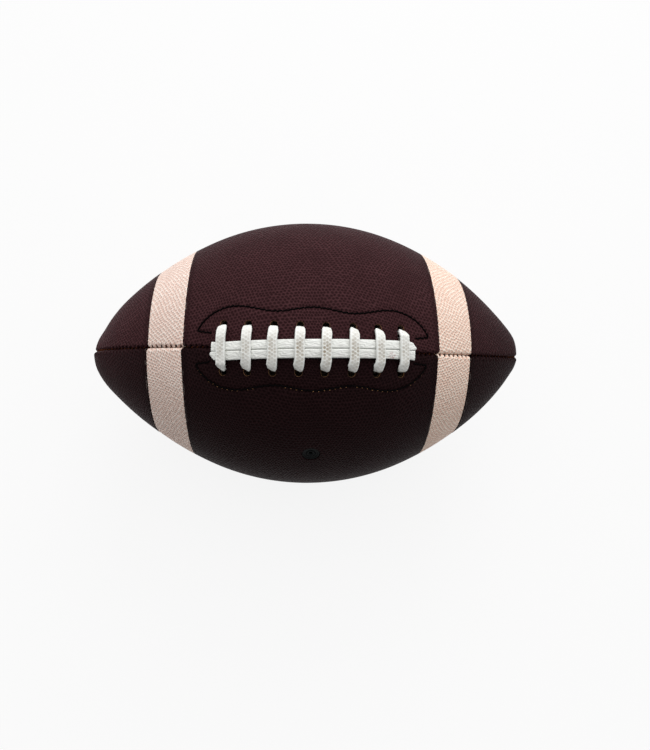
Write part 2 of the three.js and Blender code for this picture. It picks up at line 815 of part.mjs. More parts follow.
// The lace lies flat on the ball where it runs along it, and keeps its turn where it dives
function laceSides(samples, tangents, angleOf) {
  const lying = Math.cos(radians(LACE_DIVE));
  const sides = [];
  samples.forEach((sample, i) => {
    const { along, out } = directions(sample.at.x, angleOf(sample));
    const flat = tangents[i].clone().cross(out);
    const before = sides.at(-1) ?? flat;
    const side = flat.length() > lying ? flat : along;
    side.multiplyScalar(Math.sign(side.dot(before)));
    sides.push(squareTo(side, tangents[i]));
  });
  const smooth = (list) => {
    return list.map((side, i) => {
      const before = list[Math.max(0, i - 1)];
      const after = list[Math.min(list.length - 1, i + 1)];
      return squareTo(side.clone().add(before).add(after), tangents[i]);
    });
  };
  return smooth(smooth(sides));
}

function squareTo(vector, axis) {
  return vector.clone().addScaledVector(axis, -vector.dot(axis)).normalize();
}

function laceOutline(size) {
  const x = size.x / 2;
  const y = size.y / 2;
  const edge = LACE_FLAT_SHARE * x;
  return [
    new THREE.Vector2(x, 0),
    new THREE.Vector2(edge, -y),
    new THREE.Vector2(-edge, -y),
    new THREE.Vector2(-x, 0),
    new THREE.Vector2(-edge, y),
    new THREE.Vector2(edge, y),
  ];
}

function lace() {
  return loft(laceRings(LACE_STEP), laceOutline(new THREE.Vector2(...fullLace)));
}

// The least distance between two runs of the lace, measured on points of its finely stepped rings
function leastLaceGap() {
  const apart = 2 * LACE_PITCH;
  const near = 2 * LACE_WIDTH;
  const rings = laceRings(PROBE_STEP);
  const middles = rings.map((ring) => ring[0].clone().lerp(ring[ring.length / 2], 1 / 2));
  const reached = [0];
  for (let i = 1; i < middles.length; i += 1) {
    reached.push(reached[i - 1] + middles[i].distanceTo(middles[i - 1]));
  }
  const points = rings.map((ring) => {
    return ring.flatMap((point, j) => {
      const next = ring[(j + 1) % ring.length];
      return divide(0, 1, PROBES_PER_SIDE).map((share) => point.clone().lerp(next, share));
    });
  });
  let least = Infinity;
  for (let i = 0; i < rings.length; i += 1) {
    for (let j = i + 1; j < rings.length; j += 1) {
      if (reached[j] - reached[i] < apart || middles[i].distanceTo(middles[j]) > near) {
        continue;
      }
      for (const here of points[i]) {
        for (const there of points[j]) {
          least = Math.min(least, here.distanceTo(there));
        }
      }
    }
  }
  return { least, length: reached.at(-1) };
}

// Colours and finishes
const looks = {
  cover: { color: "#3a2023", roughness: 0.55, metalness: 0 },
  stripe: { color: "#e4d0c2", roughness: 0.6, metalness: 0 },
  lace: { color: "#e9e9e4", roughness: 0.45, metalness: 0 },
  fabric: { color: "#b9a98d", roughness: 0.9, metalness: 0 },
  thread: { color: "#141012", roughness: 0.7, metalness: 0 },
  bladder: { color: "#1c1c1d", roughness: 0.5, metalness: 0 },
  valve: { color: "#0e0e0f", roughness: 0.4, metalness: 0 },
};

function piece(name, geometry, look) {
  const mesh = new THREE.Mesh(geometry, new THREE.MeshStandardMaterial(looks[look]));
  mesh.name = name;
  return mesh;
}

function coverGroup() {
  const group = new THREE.Group();
  for (const panel of panels) {
    group.add(piece(`panel_${panel.name}`, cover(panel), "cover"));
    group.add(piece(`lining_${panel.name}`, lining(panel), "fabric"));
    group.add(piece(`stripe_left_${panel.name}`, stripe(panel, -1), "stripe"));
    group.add(piece(`stripe_right_${panel.name}`, stripe(panel, 1), "stripe"));
  }
  return group;
}

function threadGroup() {
  const group = new THREE.Group();
  const end = arcAtRadius(SEAM_THREAD_END_RADIUS);
  group.add(piece("seam_thread_rear", seamThread(quarter, -end, end), "thread"));
  group.add(piece("seam_thread_base", seamThread(2 * quarter, -end, end), "thread"));
  group.add(piece("seam_thread_front", seamThread(3 * quarter, -end, end), "thread"));
  group.add(piece("seam_thread_lace_left", seamThread(0, -end, -laceEnd), "thread"));
  group.add(piece("seam_thread_lace_right", seamThread(0, laceEnd, end), "thread"));
  group.add(piece("facing_thread_rear", facingThread(1), "thread"));
  group.add(piece("facing_thread_front", facingThread(-1), "thread"));
  return group;
}

function lacingGroup() {
  const group = new THREE.Group();
  const rear = panels.find(({ side }) => side > 0);
  const front = panels.find(({ side }) => side < 0);
  group.add(piece("lace", lace(), "lace"));
  group.add(piece("lace_facing_rear", facing(rear), "fabric"));
  group.add(piece("lace_facing_front", facing(front), "fabric"));
  group.add(piece("lace_tongue", tongue(), "fabric"));
  return group;
}

function valveGroup() {
  const group = new THREE.Group();
  group.add(piece("valve_housing", valveHousing(), "valve"));
  group.add(piece("valve_plug", valvePlug(), "valve"));
  group.rotation.x = quarter + radians(VALVE_ANGLE);
  return group;
}

const ball = new THREE.Group();
ball.add(coverGroup(), threadGroup(), lacingGroup(), valveGroup());
ball.add(piece("bladder", bladder(), "bladder"));
ball.position.z = axisHeight;

const { length, least } = leastLaceGap();
console.log(`lace: ${length.toFixed(0)} mm long, least gap to itself ${least.toFixed(2)} mm`);

export default ball;
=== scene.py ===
import math

import bpy
import numpy as np
from mathutils import Matrix, Vector


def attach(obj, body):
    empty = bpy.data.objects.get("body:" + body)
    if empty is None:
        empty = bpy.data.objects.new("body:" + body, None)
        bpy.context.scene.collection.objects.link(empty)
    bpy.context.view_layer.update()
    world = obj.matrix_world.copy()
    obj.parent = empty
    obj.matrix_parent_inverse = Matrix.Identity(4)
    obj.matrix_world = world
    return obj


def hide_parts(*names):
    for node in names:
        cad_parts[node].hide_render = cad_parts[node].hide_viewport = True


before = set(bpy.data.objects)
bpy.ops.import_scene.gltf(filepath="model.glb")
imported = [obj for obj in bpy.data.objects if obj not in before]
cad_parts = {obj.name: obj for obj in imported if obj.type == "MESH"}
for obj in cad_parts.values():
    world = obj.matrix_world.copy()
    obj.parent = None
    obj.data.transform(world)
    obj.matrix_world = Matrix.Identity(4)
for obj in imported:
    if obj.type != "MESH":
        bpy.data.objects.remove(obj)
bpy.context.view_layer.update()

# An American football that lies along X with its laces up, on the plane z = 0.
# Shapes are worked out in millimetres. A place on the ball is given by s, the arc along its profile
# from the middle towards +X, by an angle round the ball from the lace seam towards +Y, and by a
# height above its skin. t is the arc from the lace seam.

MM = 0.001
QUARTER = math.pi / 2

# Outer form
LENGTH = 282.6
GIRTH = 536.6
NOSE_RADIUS = 21.5
BELLY_ANGLE = math.radians(23.7)
NOSE_ANGLE = math.radians(52.2)
TIP_OPENING = 2.4
TIP_ROLL = 1.5  # how far the panels' tips turn in at the opening
TIP_ROLL_RADIUS = 5.5  # distance from the axis at which they start to turn in
REST_FLAT_DEPTH = 0.5
TWIST = math.radians(-0.0193)  # turn of the seams about the ball's axis, for each millimetre of s
TIP_DRAW = 2.1  # how far the seams' meeting point at the right tip lies to the front of the axis
TIP_DRAW_REACH = 110
TIP_RADII = (5, 34)  # distances from the axis between which a tip begins
SLIDE_RADII = (4, 10, 15, 22, 32, 42, 56)  # distances from the axis at which a panel's slides are given
SLIDE_BLUR = np.linspace(-3, 3, 7)  # round a distance, over which slides are averaged
SLIDE_FADE = 14  # beyond the last of those distances

# Layers, from the skin inwards
COVER_THICKNESS = 1.8
LINING_THICKNESS = 1.2
LINING_TIP_RADIUS = 9
BLADDER_WALL = 0.9
BLADDER_TIP_SPACE = 2.4
FIT = 0.3  # between neighbouring pieces
FACET_SAG = 0.75  # spare depth under layers with flat facets

# Sewn edges of the panels
SEAM_GAP = 0.1
EDGE_ROLL = 2.2
EDGE_WRAPS = np.radians(np.linspace(90, 0, 9))  # from a rolled edge's wall to its top
EDGE_DRIFT = 0.5  # how far a rolled edge is drawn towards the ball's middle, for its depth
FULL_EDGE_RADIUS = 3.2  # nearer to the axis, edges grow smaller
SEAM_PITCH = 3.6  # from stitch to stitch
SEAM_SLANT = 0.7  # how far a stitch runs along the seam while it crosses it
SEAM_PULL = 1.25  # how far a stitch pulls a panel's edge back
SEAM_PULL_POWER = 0.8  # a smaller one makes the stitches' slots wider
SEAM_PULL_FADE = 6  # before the lacing's ends
SEAM_PULL_SHARE = 0.12  # of the pull, at the edge that the thread slants away from
SLOT_LEAN = 0.15  # how far the slot at a stitch leans to the nearer tip, for its depth
SEAM_PULL_DEPTH = 0.9  # how far the edge goes down, for how far it is pulled back
SEAM_THREAD_DIAMETER = 0.75
SEAM_THREAD_DEPTH = 2.2
TIP_THREAD_RISE = 0.8  # how much higher the thread lies at the tips
SEAM_THREAD_END_RADIUS = 5
SEAM_THREAD_OVERLAP = 2  # with the lacing's ends
SEAM_THREAD_SWING = 0.85  # to either side of the seam
SEAM_THREAD_DIP = 0.9  # between stitches
SEAM_THREAD_POWER = 0.7  # a smaller one keeps the thread up for longer
PUCKER_EDGE = (0.5, 2)  # distances from a seam between which puckers begin
PUCKER_FULL = 1.5  # distance at which they start to fade
PUCKER_FADE = 1.8
PUCKER_SWELL = 0.12  # height between stitches
PUCKER_DIP = 0.34  # how much lower the skin lies at a stitch
STRETCH_LENGTHS = (16, 14)  # of the leather's uneven stretch, along the ball and round it
STRETCH_HEIGHT = 0.07
STRETCH_RADII = (12, 40)  # distances from the axis between which it begins

# Stripes let into the cover
STRIPE_FROM_TIP = 70.3
STRIPE_WIDTH = 26.3
STRIPE_THICKNESS = 0.6
STRIPE_WRAPS = np.radians(np.linspace(80, 0, 8))  # over a panel's rolled edge
STRIPE_RINGS = (0.12, 0.4)  # from a stripe's edge to its next rings
STRIPE_ROUNDING = 0.1  # depth of its rounded edge
STRIPE_ROUNDING_WIDTH = 0.3
STRIPE_RAGGEDNESS = 0.16
RAGGED_FINENESS = 2.1
RAGGED_REACH = 0.8  # from the edge
RECESS_SLOPE = 0.12
RECESS_GAP = 0.1  # between a stripe and the edge of its recess
RECESS_SPACE = 0.08  # under a stripe
INNER_BOW = 2.4  # how far a stripe's edges bend towards the middle between the lace and base seams
OUTER_BOW = 1.2
BOW_START = 30
STRIPE_SHIFTS = {"rear": 0.45, "front": -0.75}  # along the ball, from their places

# Lace and its holes
CROSSINGS = 8
LACE_PITCH = 14.75
LACE_WIDTH = 5.6
LACE_THICKNESS = 2.2
LACE_GAP = 0.6  # between its runs
LACE_FLAT = 0.74  # share of its width that is flat
LACE_CROWN = 0.08  # share of its half thickness
LACE_TOP = 0.9  # share of its half thickness above which its outer face lies
BUNCH_WIDTH = 3.2  # of the lace in a hole
BUNCH_THICKNESS = 2.5
INNER_WIDTH = 4.4  # of its runs inside the ball
INNER_THICKNESS = 1.5
LACE_BEND = 2.2
ARCH_BEND = 10  # where a crossing comes down off the strands
LACE_RISE = 1.5  # of its middle, over a hole
HOLE_OFFSETS = {1: 11.5, -1: 10.7}  # rear, front
HOLE_SKEWS = {1: 0, -1: -0.0163}  # slope of a row of holes against the seam
CROSSING_SHIFTS = (1.0, 0.8, 0.3, 0.2, -0.2, 0.1, 0.0, -0.4)  # from even steps, left to right
FOOT_REACHES = {1: 2.4, -1: 1.9}  # from a hole to the widest place of a crossing's end
FOOT_WIDTHS = {1: 5.8, -1: 6.1}
FOOT_SHIFTS = {1: 0.1, -1: -0.15}
FOOT_LEAN = 0.75  # share of an end's lean there
FOOT_HEIGHT = 3.0
RIM_NARROWING = 0.25  # where a crossing goes over the rim of its hole
RIM_DEPTH = 0.6  # below the skin, where it is bunched up
HOLE_WIDTH = 4.0
HOLE_DEPTH = 6
RAW_EDGE = 0.7  # depth to which the raw leather shows in a hole; deeper, the wall keeps the dark cover leather as painted shade
HOLE_SHOWN = {1: 2.9, -1: 3.1}  # how much of a hole shows beyond the lace
HOLE_BEVELS = {1: 0.15, -1: 0.24}  # how much wider a hole is at the skin
HOLE_RIM_HEIGHT = 0.22  # of the skin that is pushed up round a hole
HOLE_RIM_REACH = 3.4
HOLE_RIM_SPREAD = 1.6
HOLE_DIP = 0.3  # of the skin that is drawn in with the lace
HOLE_DIP_SPREAD = 6
HOLE_BELT = (6, 20)  # distances from the lace seam that hold all holes
WALL_FACING = 0.8  # a face that turns further from the skin's normal is a hole's wall
INNER_FACING = 0.5  # one that turns this far to the other side is the inner face
END_SHIFTS = (1.0, 0.8)  # of the strands' ends
CROSSING_LEANS = {  # from a crossing's middle to its rear and front ends, left to right
    1: (-0.2, 0.0, 0.4, 0.3, 0.3, 0.4, 0.2, 0.2),
    -1: (-0.6, -0.6, -0.5, -0.7, -0.6, -0.5, -0.6, 0.1),
}
CROSSING_SLANTS = {  # slopes of those ends
    1: (-0.18, 0, 0.15, 0.15, 0.2, 0.5, 0.5, 0.45),
    -1: (0.75, 0.67, 0.6, 0.6, 0.55, 0.55, 0.45, 0.1),
}
STRAND_WIDTH = 5.15
STRAND_OFFSET = 2.59
STRAND_SKEW = 0.035  # slope of the strands against the seam
STRAND_TILT = 0.07  # of the strands, away from each other
STRAND_SHIFT = 0.6  # how far the strands' middle lies to the rear
STRAND_BOW = 1.3  # how far their ends lie to the front of their middle
STRAND_END = 58  # s of those ends
STRAND_TOPS = (3, 3.6)  # heights between the strands and the crossings
STRAND_DEPTH = 0.5  # below the skin, where the strands' shift begins
STRAND_FADE = 3  # before the hole that a strand goes into
TAIL_REACH = 6.3
TAIL_WIDTH = 5.6
DOT_PITCH = 2.0
DOT_COLUMN = 1.35  # between neighbouring columns of dots
DOT_MIDDLE = 0.15  # how far the middle column lies from the middle of the lace
DOT_RADII = (0.55, 1.0)  # of a dot's floor and of its rim
DOT_DEPTH = 0.14
RIDGE_HEIGHT = 0.11
RIDGE_PITCH = 1.5
RIDGE_EDGE = (1.5, 2.1)  # distances from the strand's middle line between which ridges end
SHOWN_NARROWING = 0.8  # narrower lace loses its pattern
STAIN_MIDDLE = 8  # s at which handling has stained the lace most
STAIN_REACH = 34
STAIN_LEAST = 0.5  # at the ends of the lacing
STAIN_FAR_LEAST = 0.2  # at the ends of the crossings
STAIN_WIDTH = 7  # from the seam
SMUDGE_AT = (44.5, -0.03, 3)  # s, angle and height of a reddish smudge on a strand
SMUDGE_SIZE = 3.4
FOLD_REACH = 6.2  # from the last crossing to the middle of the folded end of a strand
FOLD_SLOPE = 0.62  # run of the fold along the strand, for its width
FOLD_THICKNESS = 1.25
FOLD_BEND = 0.62
FOLD_RISE = 0.75  # of the strand at its fold
FOLD_LOW = 0.55  # height of the cord under the fold
FOLD_CORD = (1.9, 1.15)  # width and thickness, where the strand is rolled up to a cord

# Facing behind the lace holes, its stitches, and the tongue
FACING_BASE = 22.6
FACING_WAVE = 1.4
FACING_WAVELENGTH = 43.5
FACING_LOBE = 25
FACING_LOBE_POWER = 0.75
FACING_CORNER = 9.2
FACING_MARGIN = 2.5
FACING_STITCH_RETURN = 9  # from the facing's corner back along the seam
FACING_STITCH_DROP = 1  # towards the seam
FACING_SHIFTS = {1: 1.3, -1: 0}  # along the seam, rear and front
FACING_OFFSETS = {1: 0, -1: -1.1}  # from the seam
FACING_SKEWS = {1: 0, -1: -0.02}
FACING_STITCH_PITCH = 3.1
FACING_THREAD_DIAMETER = 0.95
NEEDLE_SPECK = 0.45  # size of the fibres drawn out at a needle hole
SPECK_DIAMETER = 0.42
SPECK_APART = 0.65  # from the stitches
SPECK_HEIGHT = 0.02
SPECK_BEND = 0.12
SPECK_FIRST = 4  # number of needle holes at each end that have none
SPECKS_MISSING = 0.3  # share of the other holes that have none
FACING_GROOVE_DEPTH = 0.4
FACING_GROOVE_WIDTH = 0.9
FACING_THREAD_STEP = 0.25
FACING_THREAD_SIDES = 9
FACING_THREAD_RISE = FACING_THREAD_DIAMETER / 2.5  # of its middle, above the groove's floor
FACING_THREAD_DIP = 0.7  # between stitches
FACING_DIP_POWER = 14  # a larger one makes the dips shorter
FACING_THREAD_SWING = 0.2
FACING_SWELL = 0.12  # height of the skin beside the groove
FACING_SWELL_APART = 2.6
FACING_SWELL_SPREAD = 2.4
FACING_SWELL_END = 3  # beyond the facing's ends
LACE_END_MARGIN = 12.5
TONGUE_HALF_WIDTH = 17
TONGUE_THICKNESS = 1.2
TONGUE_END_POWER = 4
TONGUE_REACH = 0.985  # share of the way to its ends' corners
TONGUE_ROUNDING = 0.35
DIMPLE_MARGIN = 5
DIMPLE_SLOPE = 16

# Valve, in the middle of the front lace panel
VALVE_ANGLE = math.radians(-45)
VALVE_DIAMETER = 10.4
VALVE_RECESS = 0.9
VALVE_RIM_WIDTH = 0.9
VALVE_RIM_HEIGHT = 0.4
VALVE_RIM_SLOPE = 0.2
VALVE_BEND = 0.25  # of its edges
VALVE_DEPTH = 15
VALVE_FLANGE_DIAMETER = 16
VALVE_FLANGE_THICKNESS = 1.2
VALVE_BORE_PLAY = 0.5  # in the cover
VALVE_BORE_TOP = 4  # above the skin
PLUG_DIAMETER = 5
PLUG_DOME = 0.3
PLUG_BEND = 0.2
PLUG_CENTRE = 0.01  # distance from the axis at which its faces end
NEEDLE_HOLE_DIAMETER = 1.8
NEEDLE_HOLE_MOUTH = 2.6
NEEDLE_HOLE_DEPTH = 10

# Fineness of the meshes
FINE_MARGIN = 4  # beyond the facing
LEAST_STEP = 0.3  # from a recess's rings to the next ones
INNER_COLUMNS = 12
SEAM_THREAD_STEP = 0.28
PANEL_STEP = SEAM_PITCH / 7
STRIPE_STEP = SEAM_PITCH / 16
FINE_COLUMN = 0.85  # near the laces
COLUMN = 2.2
LINING_STEP = 3
LACE_STEP = 0.3
LACE_TURN = math.radians(9)
STRAIGHT = math.radians(1)  # a smaller corner isn't rounded
HIDDEN_LACE_STEP = 1.2

RADIUS = GIRTH / (2 * math.pi)
AXIS_HEIGHT = RADIUS - REST_FLAT_DEPTH


def profile_arcs():
    """The belly, shoulder and nose arcs, whose radii reach the length and the girth together."""
    reach = LENGTH / 2 - NOSE_RADIUS * (1 - math.sin(NOSE_ANGLE))
    fall = RADIUS - NOSE_RADIUS * math.cos(NOSE_ANGLE)
    belly_reach, belly_fall = math.sin(BELLY_ANGLE), 1 - math.cos(BELLY_ANGLE)
    shoulder_reach = math.sin(NOSE_ANGLE) - belly_reach
    shoulder_fall = math.cos(BELLY_ANGLE) - math.cos(NOSE_ANGLE)
    scale = belly_reach * shoulder_fall - shoulder_reach * belly_fall
    belly = (reach * shoulder_fall - shoulder_reach * fall) / scale
    shoulder = (belly_reach * fall - belly_fall * reach) / scale
    arcs = []
    start, lean, x, r = 0, 0, 0, RADIUS
    for bend, end in ((belly, BELLY_ANGLE), (shoulder, NOSE_ANGLE), (NOSE_RADIUS, QUARTER)):
        centre = (x - bend * math.sin(lean), r - bend * math.cos(lean))
        arcs.append({"start": start, "lean": lean, "end": end, "bend": bend, "centre": centre})
        start += bend * (end - lean)
        x, r = centre[0] + bend * math.sin(end), centre[1] + bend * math.cos(end)
        lean = end
    return arcs, start


ARCS, TIP_ARC = profile_arcs()


def profile(s):
    """Place along the ball, distance from its axis and lean of the skin at s."""
    along = np.abs(s)
    x, r, lean = np.zeros_like(along), np.zeros_like(along), np.zeros_like(along)
    for arc in ARCS:
        here = along >= arc["start"]
        angle = arc["lean"] + (along - arc["start"]) / arc["bend"]
        lean = np.where(here, angle, lean)
        x = np.where(here, arc["centre"][0] + arc["bend"] * np.sin(angle), x)
        r = np.where(here, arc["centre"][1] + arc["bend"] * np.cos(angle), r)
    return np.sign(s) * x, r, np.sign(s) * lean


def skin_radius(s):
    """Distance of the skin from the ball's axis."""
    return profile(s)[1]


def bow(s, angle):
    """How far the skin's lines across the ball bend along it."""
    stops = (BOW_START, STRIPE_INNER, STRIPE_OUTER, TIP_ARC)
    size = np.interp(np.abs(s), stops, (0, INNER_BOW, OUTER_BOW, 0))
    return -np.sign(s) * size * np.abs(np.sin(angle))


def drawn_tip(s, angle):
    """s and angle of skin that is drawn to the front with the seams' meeting point."""
    from_tip = TIP_ARC - np.abs(s)
    draw = np.where(s > 0, TIP_DRAW, 0) * (1 - smoothstep(from_tip, 0, TIP_DRAW_REACH))
    across, up = from_tip * np.sin(angle) - draw, from_tip * np.cos(angle)
    return np.sign(s) * (TIP_ARC - np.hypot(across, up)), np.arctan2(across, up)


def place(s, angle, height, slide=0):
    """Points of the part's frame, in metres."""
    given = (np.asarray(a, float) for a in (s, angle, height, slide))
    s, angle, height, slide = np.broadcast_arrays(*given)
    s, angle = drawn_tip(s + bow(s, angle), angle)
    x, r, lean = profile(s)
    out = r + height * np.cos(lean)
    bearing = angle + TWIST * s
    across, up = out * np.sin(bearing), out * np.cos(bearing)
    return np.stack([x + slide + height * np.sin(lean), across, up + AXIS_HEIGHT], -1) * MM


def directions(s, angle):
    """Unit vectors along the ball, round it and out of its skin."""
    _, _, lean = profile(s)
    bearing = angle + TWIST * s
    around = np.stack([0 * bearing, np.cos(bearing), -np.sin(bearing)], -1)
    out = np.stack([np.sin(lean), np.cos(lean) * np.sin(bearing), np.cos(lean) * np.cos(bearing)], -1)
    return np.cross(around, out), around, out


def locate(points):
    """s, angle and height of points of the part's frame."""
    x, y, z = (np.asarray(points, float) / MM).T
    z = z - AXIS_HEIGHT
    out = np.hypot(y, z)
    s, height = np.zeros_like(x), np.zeros_like(x)
    for arc in ARCS:
        across, up = np.abs(x) - arc["centre"][0], out - arc["centre"][1]
        lean = np.arctan2(across, up)
        here = lean >= arc["lean"]
        s = np.where(here, arc["start"] + arc["bend"] * (lean - arc["lean"]), s)
        height = np.where(here, np.hypot(across, up) - arc["bend"], height)
    s = np.sign(x) * s
    angle = np.arctan2(y, z) - TWIST * s
    return s - bow(s, angle), angle, height


def arc_at_radius(r):
    """s of the skin of the nose at a distance from the axis."""
    nose = ARCS[-1]
    return nose["start"] + nose["bend"] * (math.acos(r / nose["bend"]) - nose["lean"])


def smoothstep(value, low, high):
    """From 0 at low to 1 at high."""
    share = np.clip((value - low) / (high - low), 0, 1)
    return share * share * (3 - 2 * share)


def unit(vectors):
    return vectors / np.linalg.norm(vectors, axis=-1, keepdims=True)


def reached_along(points):
    """Length along a row of points, up to each of them."""
    return np.concatenate([[0], np.cumsum(np.linalg.norm(np.diff(points, axis=0), axis=1))])


def even_stops(end, step):
    return np.linspace(-end, end, round(2 * end / step))


def ripples(points, seed, waves=7):
    """A smooth wavering of about -1 to 1 along a row of numbers, the same in each run."""
    random = np.random.default_rng(seed)
    total = np.zeros_like(points, dtype=float)
    for _ in range(waves):
        total += np.sin(points * random.uniform(0.6, 1.6) + random.uniform(0, 2 * math.pi))
    return total / math.sqrt(waves)


# Values that follow from the sizes above
LAST_CROSSING = LACE_PITCH * (CROSSINGS - 1) / 2
LACE_END = LAST_CROSSING + LACE_END_MARGIN
STRIPE_OUTER = TIP_ARC - STRIPE_FROM_TIP
STRIPE_INNER = STRIPE_OUTER - STRIPE_WIDTH
STRIPE_MIDDLE = (STRIPE_INNER + STRIPE_OUTER) / 2
RECESS_HALF = STRIPE_WIDTH / 2 + RECESS_GAP
COVER_END = arc_at_radius(TIP_OPENING / 2)
LINING_END = arc_at_radius(LINING_TIP_RADIUS)
LINING_TOP = COVER_THICKNESS + FIT
LINING_BOTTOM = LINING_TOP + LINING_THICKNESS
INNER_RUN = LINING_BOTTOM + FACET_SAG + LACE_GAP + INNER_THICKNESS / 2
LOWER_RUN = INNER_RUN + INNER_THICKNESS + LACE_GAP
TONGUE_TOP = LOWER_RUN + INNER_THICKNESS / 2 + FIT
TONGUE_BOTTOM = TONGUE_TOP + TONGUE_THICKNESS
BLADDER_TOP = LINING_BOTTOM + FIT
FACING_END = FACING_WAVELENGTH + FACING_LOBE
FINE_BELT = FACING_BASE + FACING_WAVE + FINE_MARGIN
STRAND_HEIGHT = FIT + LACE_THICKNESS / 2
CROSSING_HEIGHT = STRAND_HEIGHT + LACE_THICKNESS + LACE_GAP
SECOND_PASS = HOLE_OFFSETS[1] - BUNCH_THICKNESS - LACE_GAP
HOLE_BOTTOM = -(LINING_BOTTOM + FACET_SAG)
THREAD_END = arc_at_radius(SEAM_THREAD_END_RADIUS)
LACE_THREAD_START = LACE_END - SEAM_THREAD_OVERLAP
SIDE_NAMES = {1: "rear", -1: "front"}

# Each panel starts at a seam and reaches a quarter of the way round
# Each side's leather is also scaled up or down towards its left and right tips: painted light and painted
# shade.
REAR = {
    "shift": STRIPE_SHIFTS["rear"],
    "painted_tip_shading": (1.3, 0.65),
    "left_slides": (1.6, 2.1, 2.0, 0.6, -0.65, -0.55, -0.2),
    "right_slides": (-0.9, -1.0, 0.2, 0.0, -0.35, -0.4, -0.1),
}
FRONT = {
    "shift": STRIPE_SHIFTS["front"],
    "painted_tip_shading": (2.3, 1.15),
    "left_slides": (1.3, 0.3, -1.1, -2.0, -1.4, -1.0, -0.1),
    "right_slides": (-0.6, -0.45, -0.3, 0.2, 0.55, 0.65, 0.3),
}
PANELS = [
    # The number after each side darkens that panel's whole leather: painted shade, strongest on the panels
    # that turn away from the light.
    {"name": "lace_rear", "start": 0, "side": 1, "painted_shading": 1.0, **REAR},
    {"name": "base_rear", "start": QUARTER, "side": 0, "painted_shading": 0.9, **REAR},
    {"name": "base_front", "start": 2 * QUARTER, "side": 0, "painted_shading": 0.45, **FRONT},
    {"name": "lace_front", "start": 3 * QUARTER, "side": -1, "painted_shading": 0.3, **FRONT},
]


def tip_share(s):
    """From 0 to 1 over the ball's tips."""
    return 1 - smoothstep(skin_radius(s), *TIP_RADII)


def tip_slide(panel, s):
    """How far a panel's tips and shoulders lie along X from their places."""
    r = skin_radius(s)
    last = SLIDE_RADII[-1]
    fade = 1 - smoothstep(r, last, last + SLIDE_FADE)
    ends = []
    for name in ("left_slides", "right_slides"):
        slides = [np.interp(r + blur, SLIDE_RADII, panel[name]) for blur in SLIDE_BLUR]
        ends.append(np.mean(slides, axis=0) * fade)
    return np.where(s < 0, *ends)


def tip_roll(s):
    """Depth to which the panels' tips turn in round the opening between them."""
    reach = (TIP_ROLL_RADIUS - skin_radius(s)) / (TIP_ROLL_RADIUS - TIP_OPENING / 2)
    return TIP_ROLL * (1 - np.sqrt(1 - np.clip(reach, 0, 1) ** 2))


# Meshes and pieces


def build_mesh(name, points, quads, polygons=()):
    mesh = bpy.data.meshes.new(name)
    corners = np.concatenate([np.asarray(quads).ravel(), *polygons]).astype(np.int32)
    sizes = np.concatenate([np.full(len(quads), 4), [len(p) for p in polygons]]).astype(np.int32)
    mesh.vertices.add(len(points))
    mesh.vertices.foreach_set("co", np.asarray(points, np.float32).ravel())
    mesh.loops.add(len(corners))
    mesh.loops.foreach_set("vertex_index", corners)
    mesh.polygons.add(len(sizes))
    mesh.polygons.foreach_set("loop_start", np.concatenate([[0], np.cumsum(sizes)[:-1]]).astype(np.int32))
    mesh.update(calc_edges=True)
    mesh.validate()
    return mesh


def ring_faces(rings, count, first=0):
    """Quads between neighbouring closed rings of points."""
    index = first + np.arange(rings * count).reshape(rings, count)
    here, beside = index[:-1], np.roll(index[:-1], -1, 1)
    above, above_beside = index[1:], np.roll(index[1:], -1, 1)
    return np.stack([here, above, above_beside, beside], -1).reshape(-1, 4)


def loft(name, rings):
    """One closed body through rings of points, an array of (rings, points, 3)."""
    count, size = rings.shape[:2]
    caps = [np.arange(size), np.arange(size)[::-1] + (count - 1) * size]
    return build_mesh(name, rings.reshape(-1, 3), ring_faces(count, size), caps)


def tube(name, path, diameter, sides=7):
    """A closed round tube along a path of points in metres."""
    tangents = unit(np.gradient(path, axis=0))
    outward = path - np.array([0, 0, AXIS_HEIGHT]) * MM
    across = unit(np.cross(tangents, outward))
    up = np.cross(across, tangents)
    turn = np.linspace(0, 2 * math.pi, sides, endpoint=False)
    half = diameter * MM / 2
    ring = np.cos(turn)[:, None] * across[:, None] + np.sin(turn)[:, None] * up[:, None]
    return loft(name, path[:, None] + half * ring)


def vertex_array(mesh):
    co = np.zeros(len(mesh.vertices) * 3, np.float32)
    mesh.vertices.foreach_get("co", co)
    return co.reshape(-1, 3)


def joined(name, meshes):
    """One mesh that holds all of these as separate bodies."""
    points, quads, polygons, first = [], [], [], 0
    for mesh in meshes:
        points.append(vertex_array(mesh))
        for face in mesh.polygons:
            corners = [first + v for v in face.vertices]
            (quads if len(corners) == 4 else polygons).append(corners)
        first += len(mesh.vertices)
        bpy.data.meshes.remove(mesh)
    return build_mesh(name, np.concatenate(points), np.array(quads), polygons)


def add_object(name, data):
    piece = bpy.data.objects.new(name, data)
    bpy.context.scene.collection.objects.link(piece)
    return piece


def carve(piece, cutter_mesh, operation="DIFFERENCE"):
    """Cuts a closed mesh out of a piece, or keeps what they have in common."""
    cutter = add_object("cutter", cutter_mesh)
    modifier = piece.modifiers.new("carve", "BOOLEAN")
    modifier.solver = "MANIFOLD"
    modifier.operation = operation
    modifier.object = cutter
    shown = piece.evaluated_get(bpy.context.evaluated_depsgraph_get())
    result = bpy.data.meshes.new_from_object(shown)
    piece.modifiers.clear()
    old = piece.data
    piece.data = result
    bpy.data.meshes.remove(old)
    bpy.data.objects.remove(cutter)
    bpy.data.meshes.remove(cutter_mesh)


def lay_out_skin(mesh, start, shift=0):
    """Gives each corner its s and its arc from a panel's middle line, in millimetres, as a UV map."""
    s, angle, _ = locate(vertex_array(mesh))
    middle = start + QUARTER / 2
    turn = np.mod(angle - middle + math.pi, 2 * math.pi) - math.pi
    spots = np.stack([s - shift, turn * skin_radius(s)], -1).astype(np.float32)
    corners = np.zeros(len(mesh.loops), np.int32)
    mesh.loops.foreach_get("vertex_index", corners)
    mesh.uv_layers.new(name="skin").data.foreach_set("uv", spots[corners].ravel())


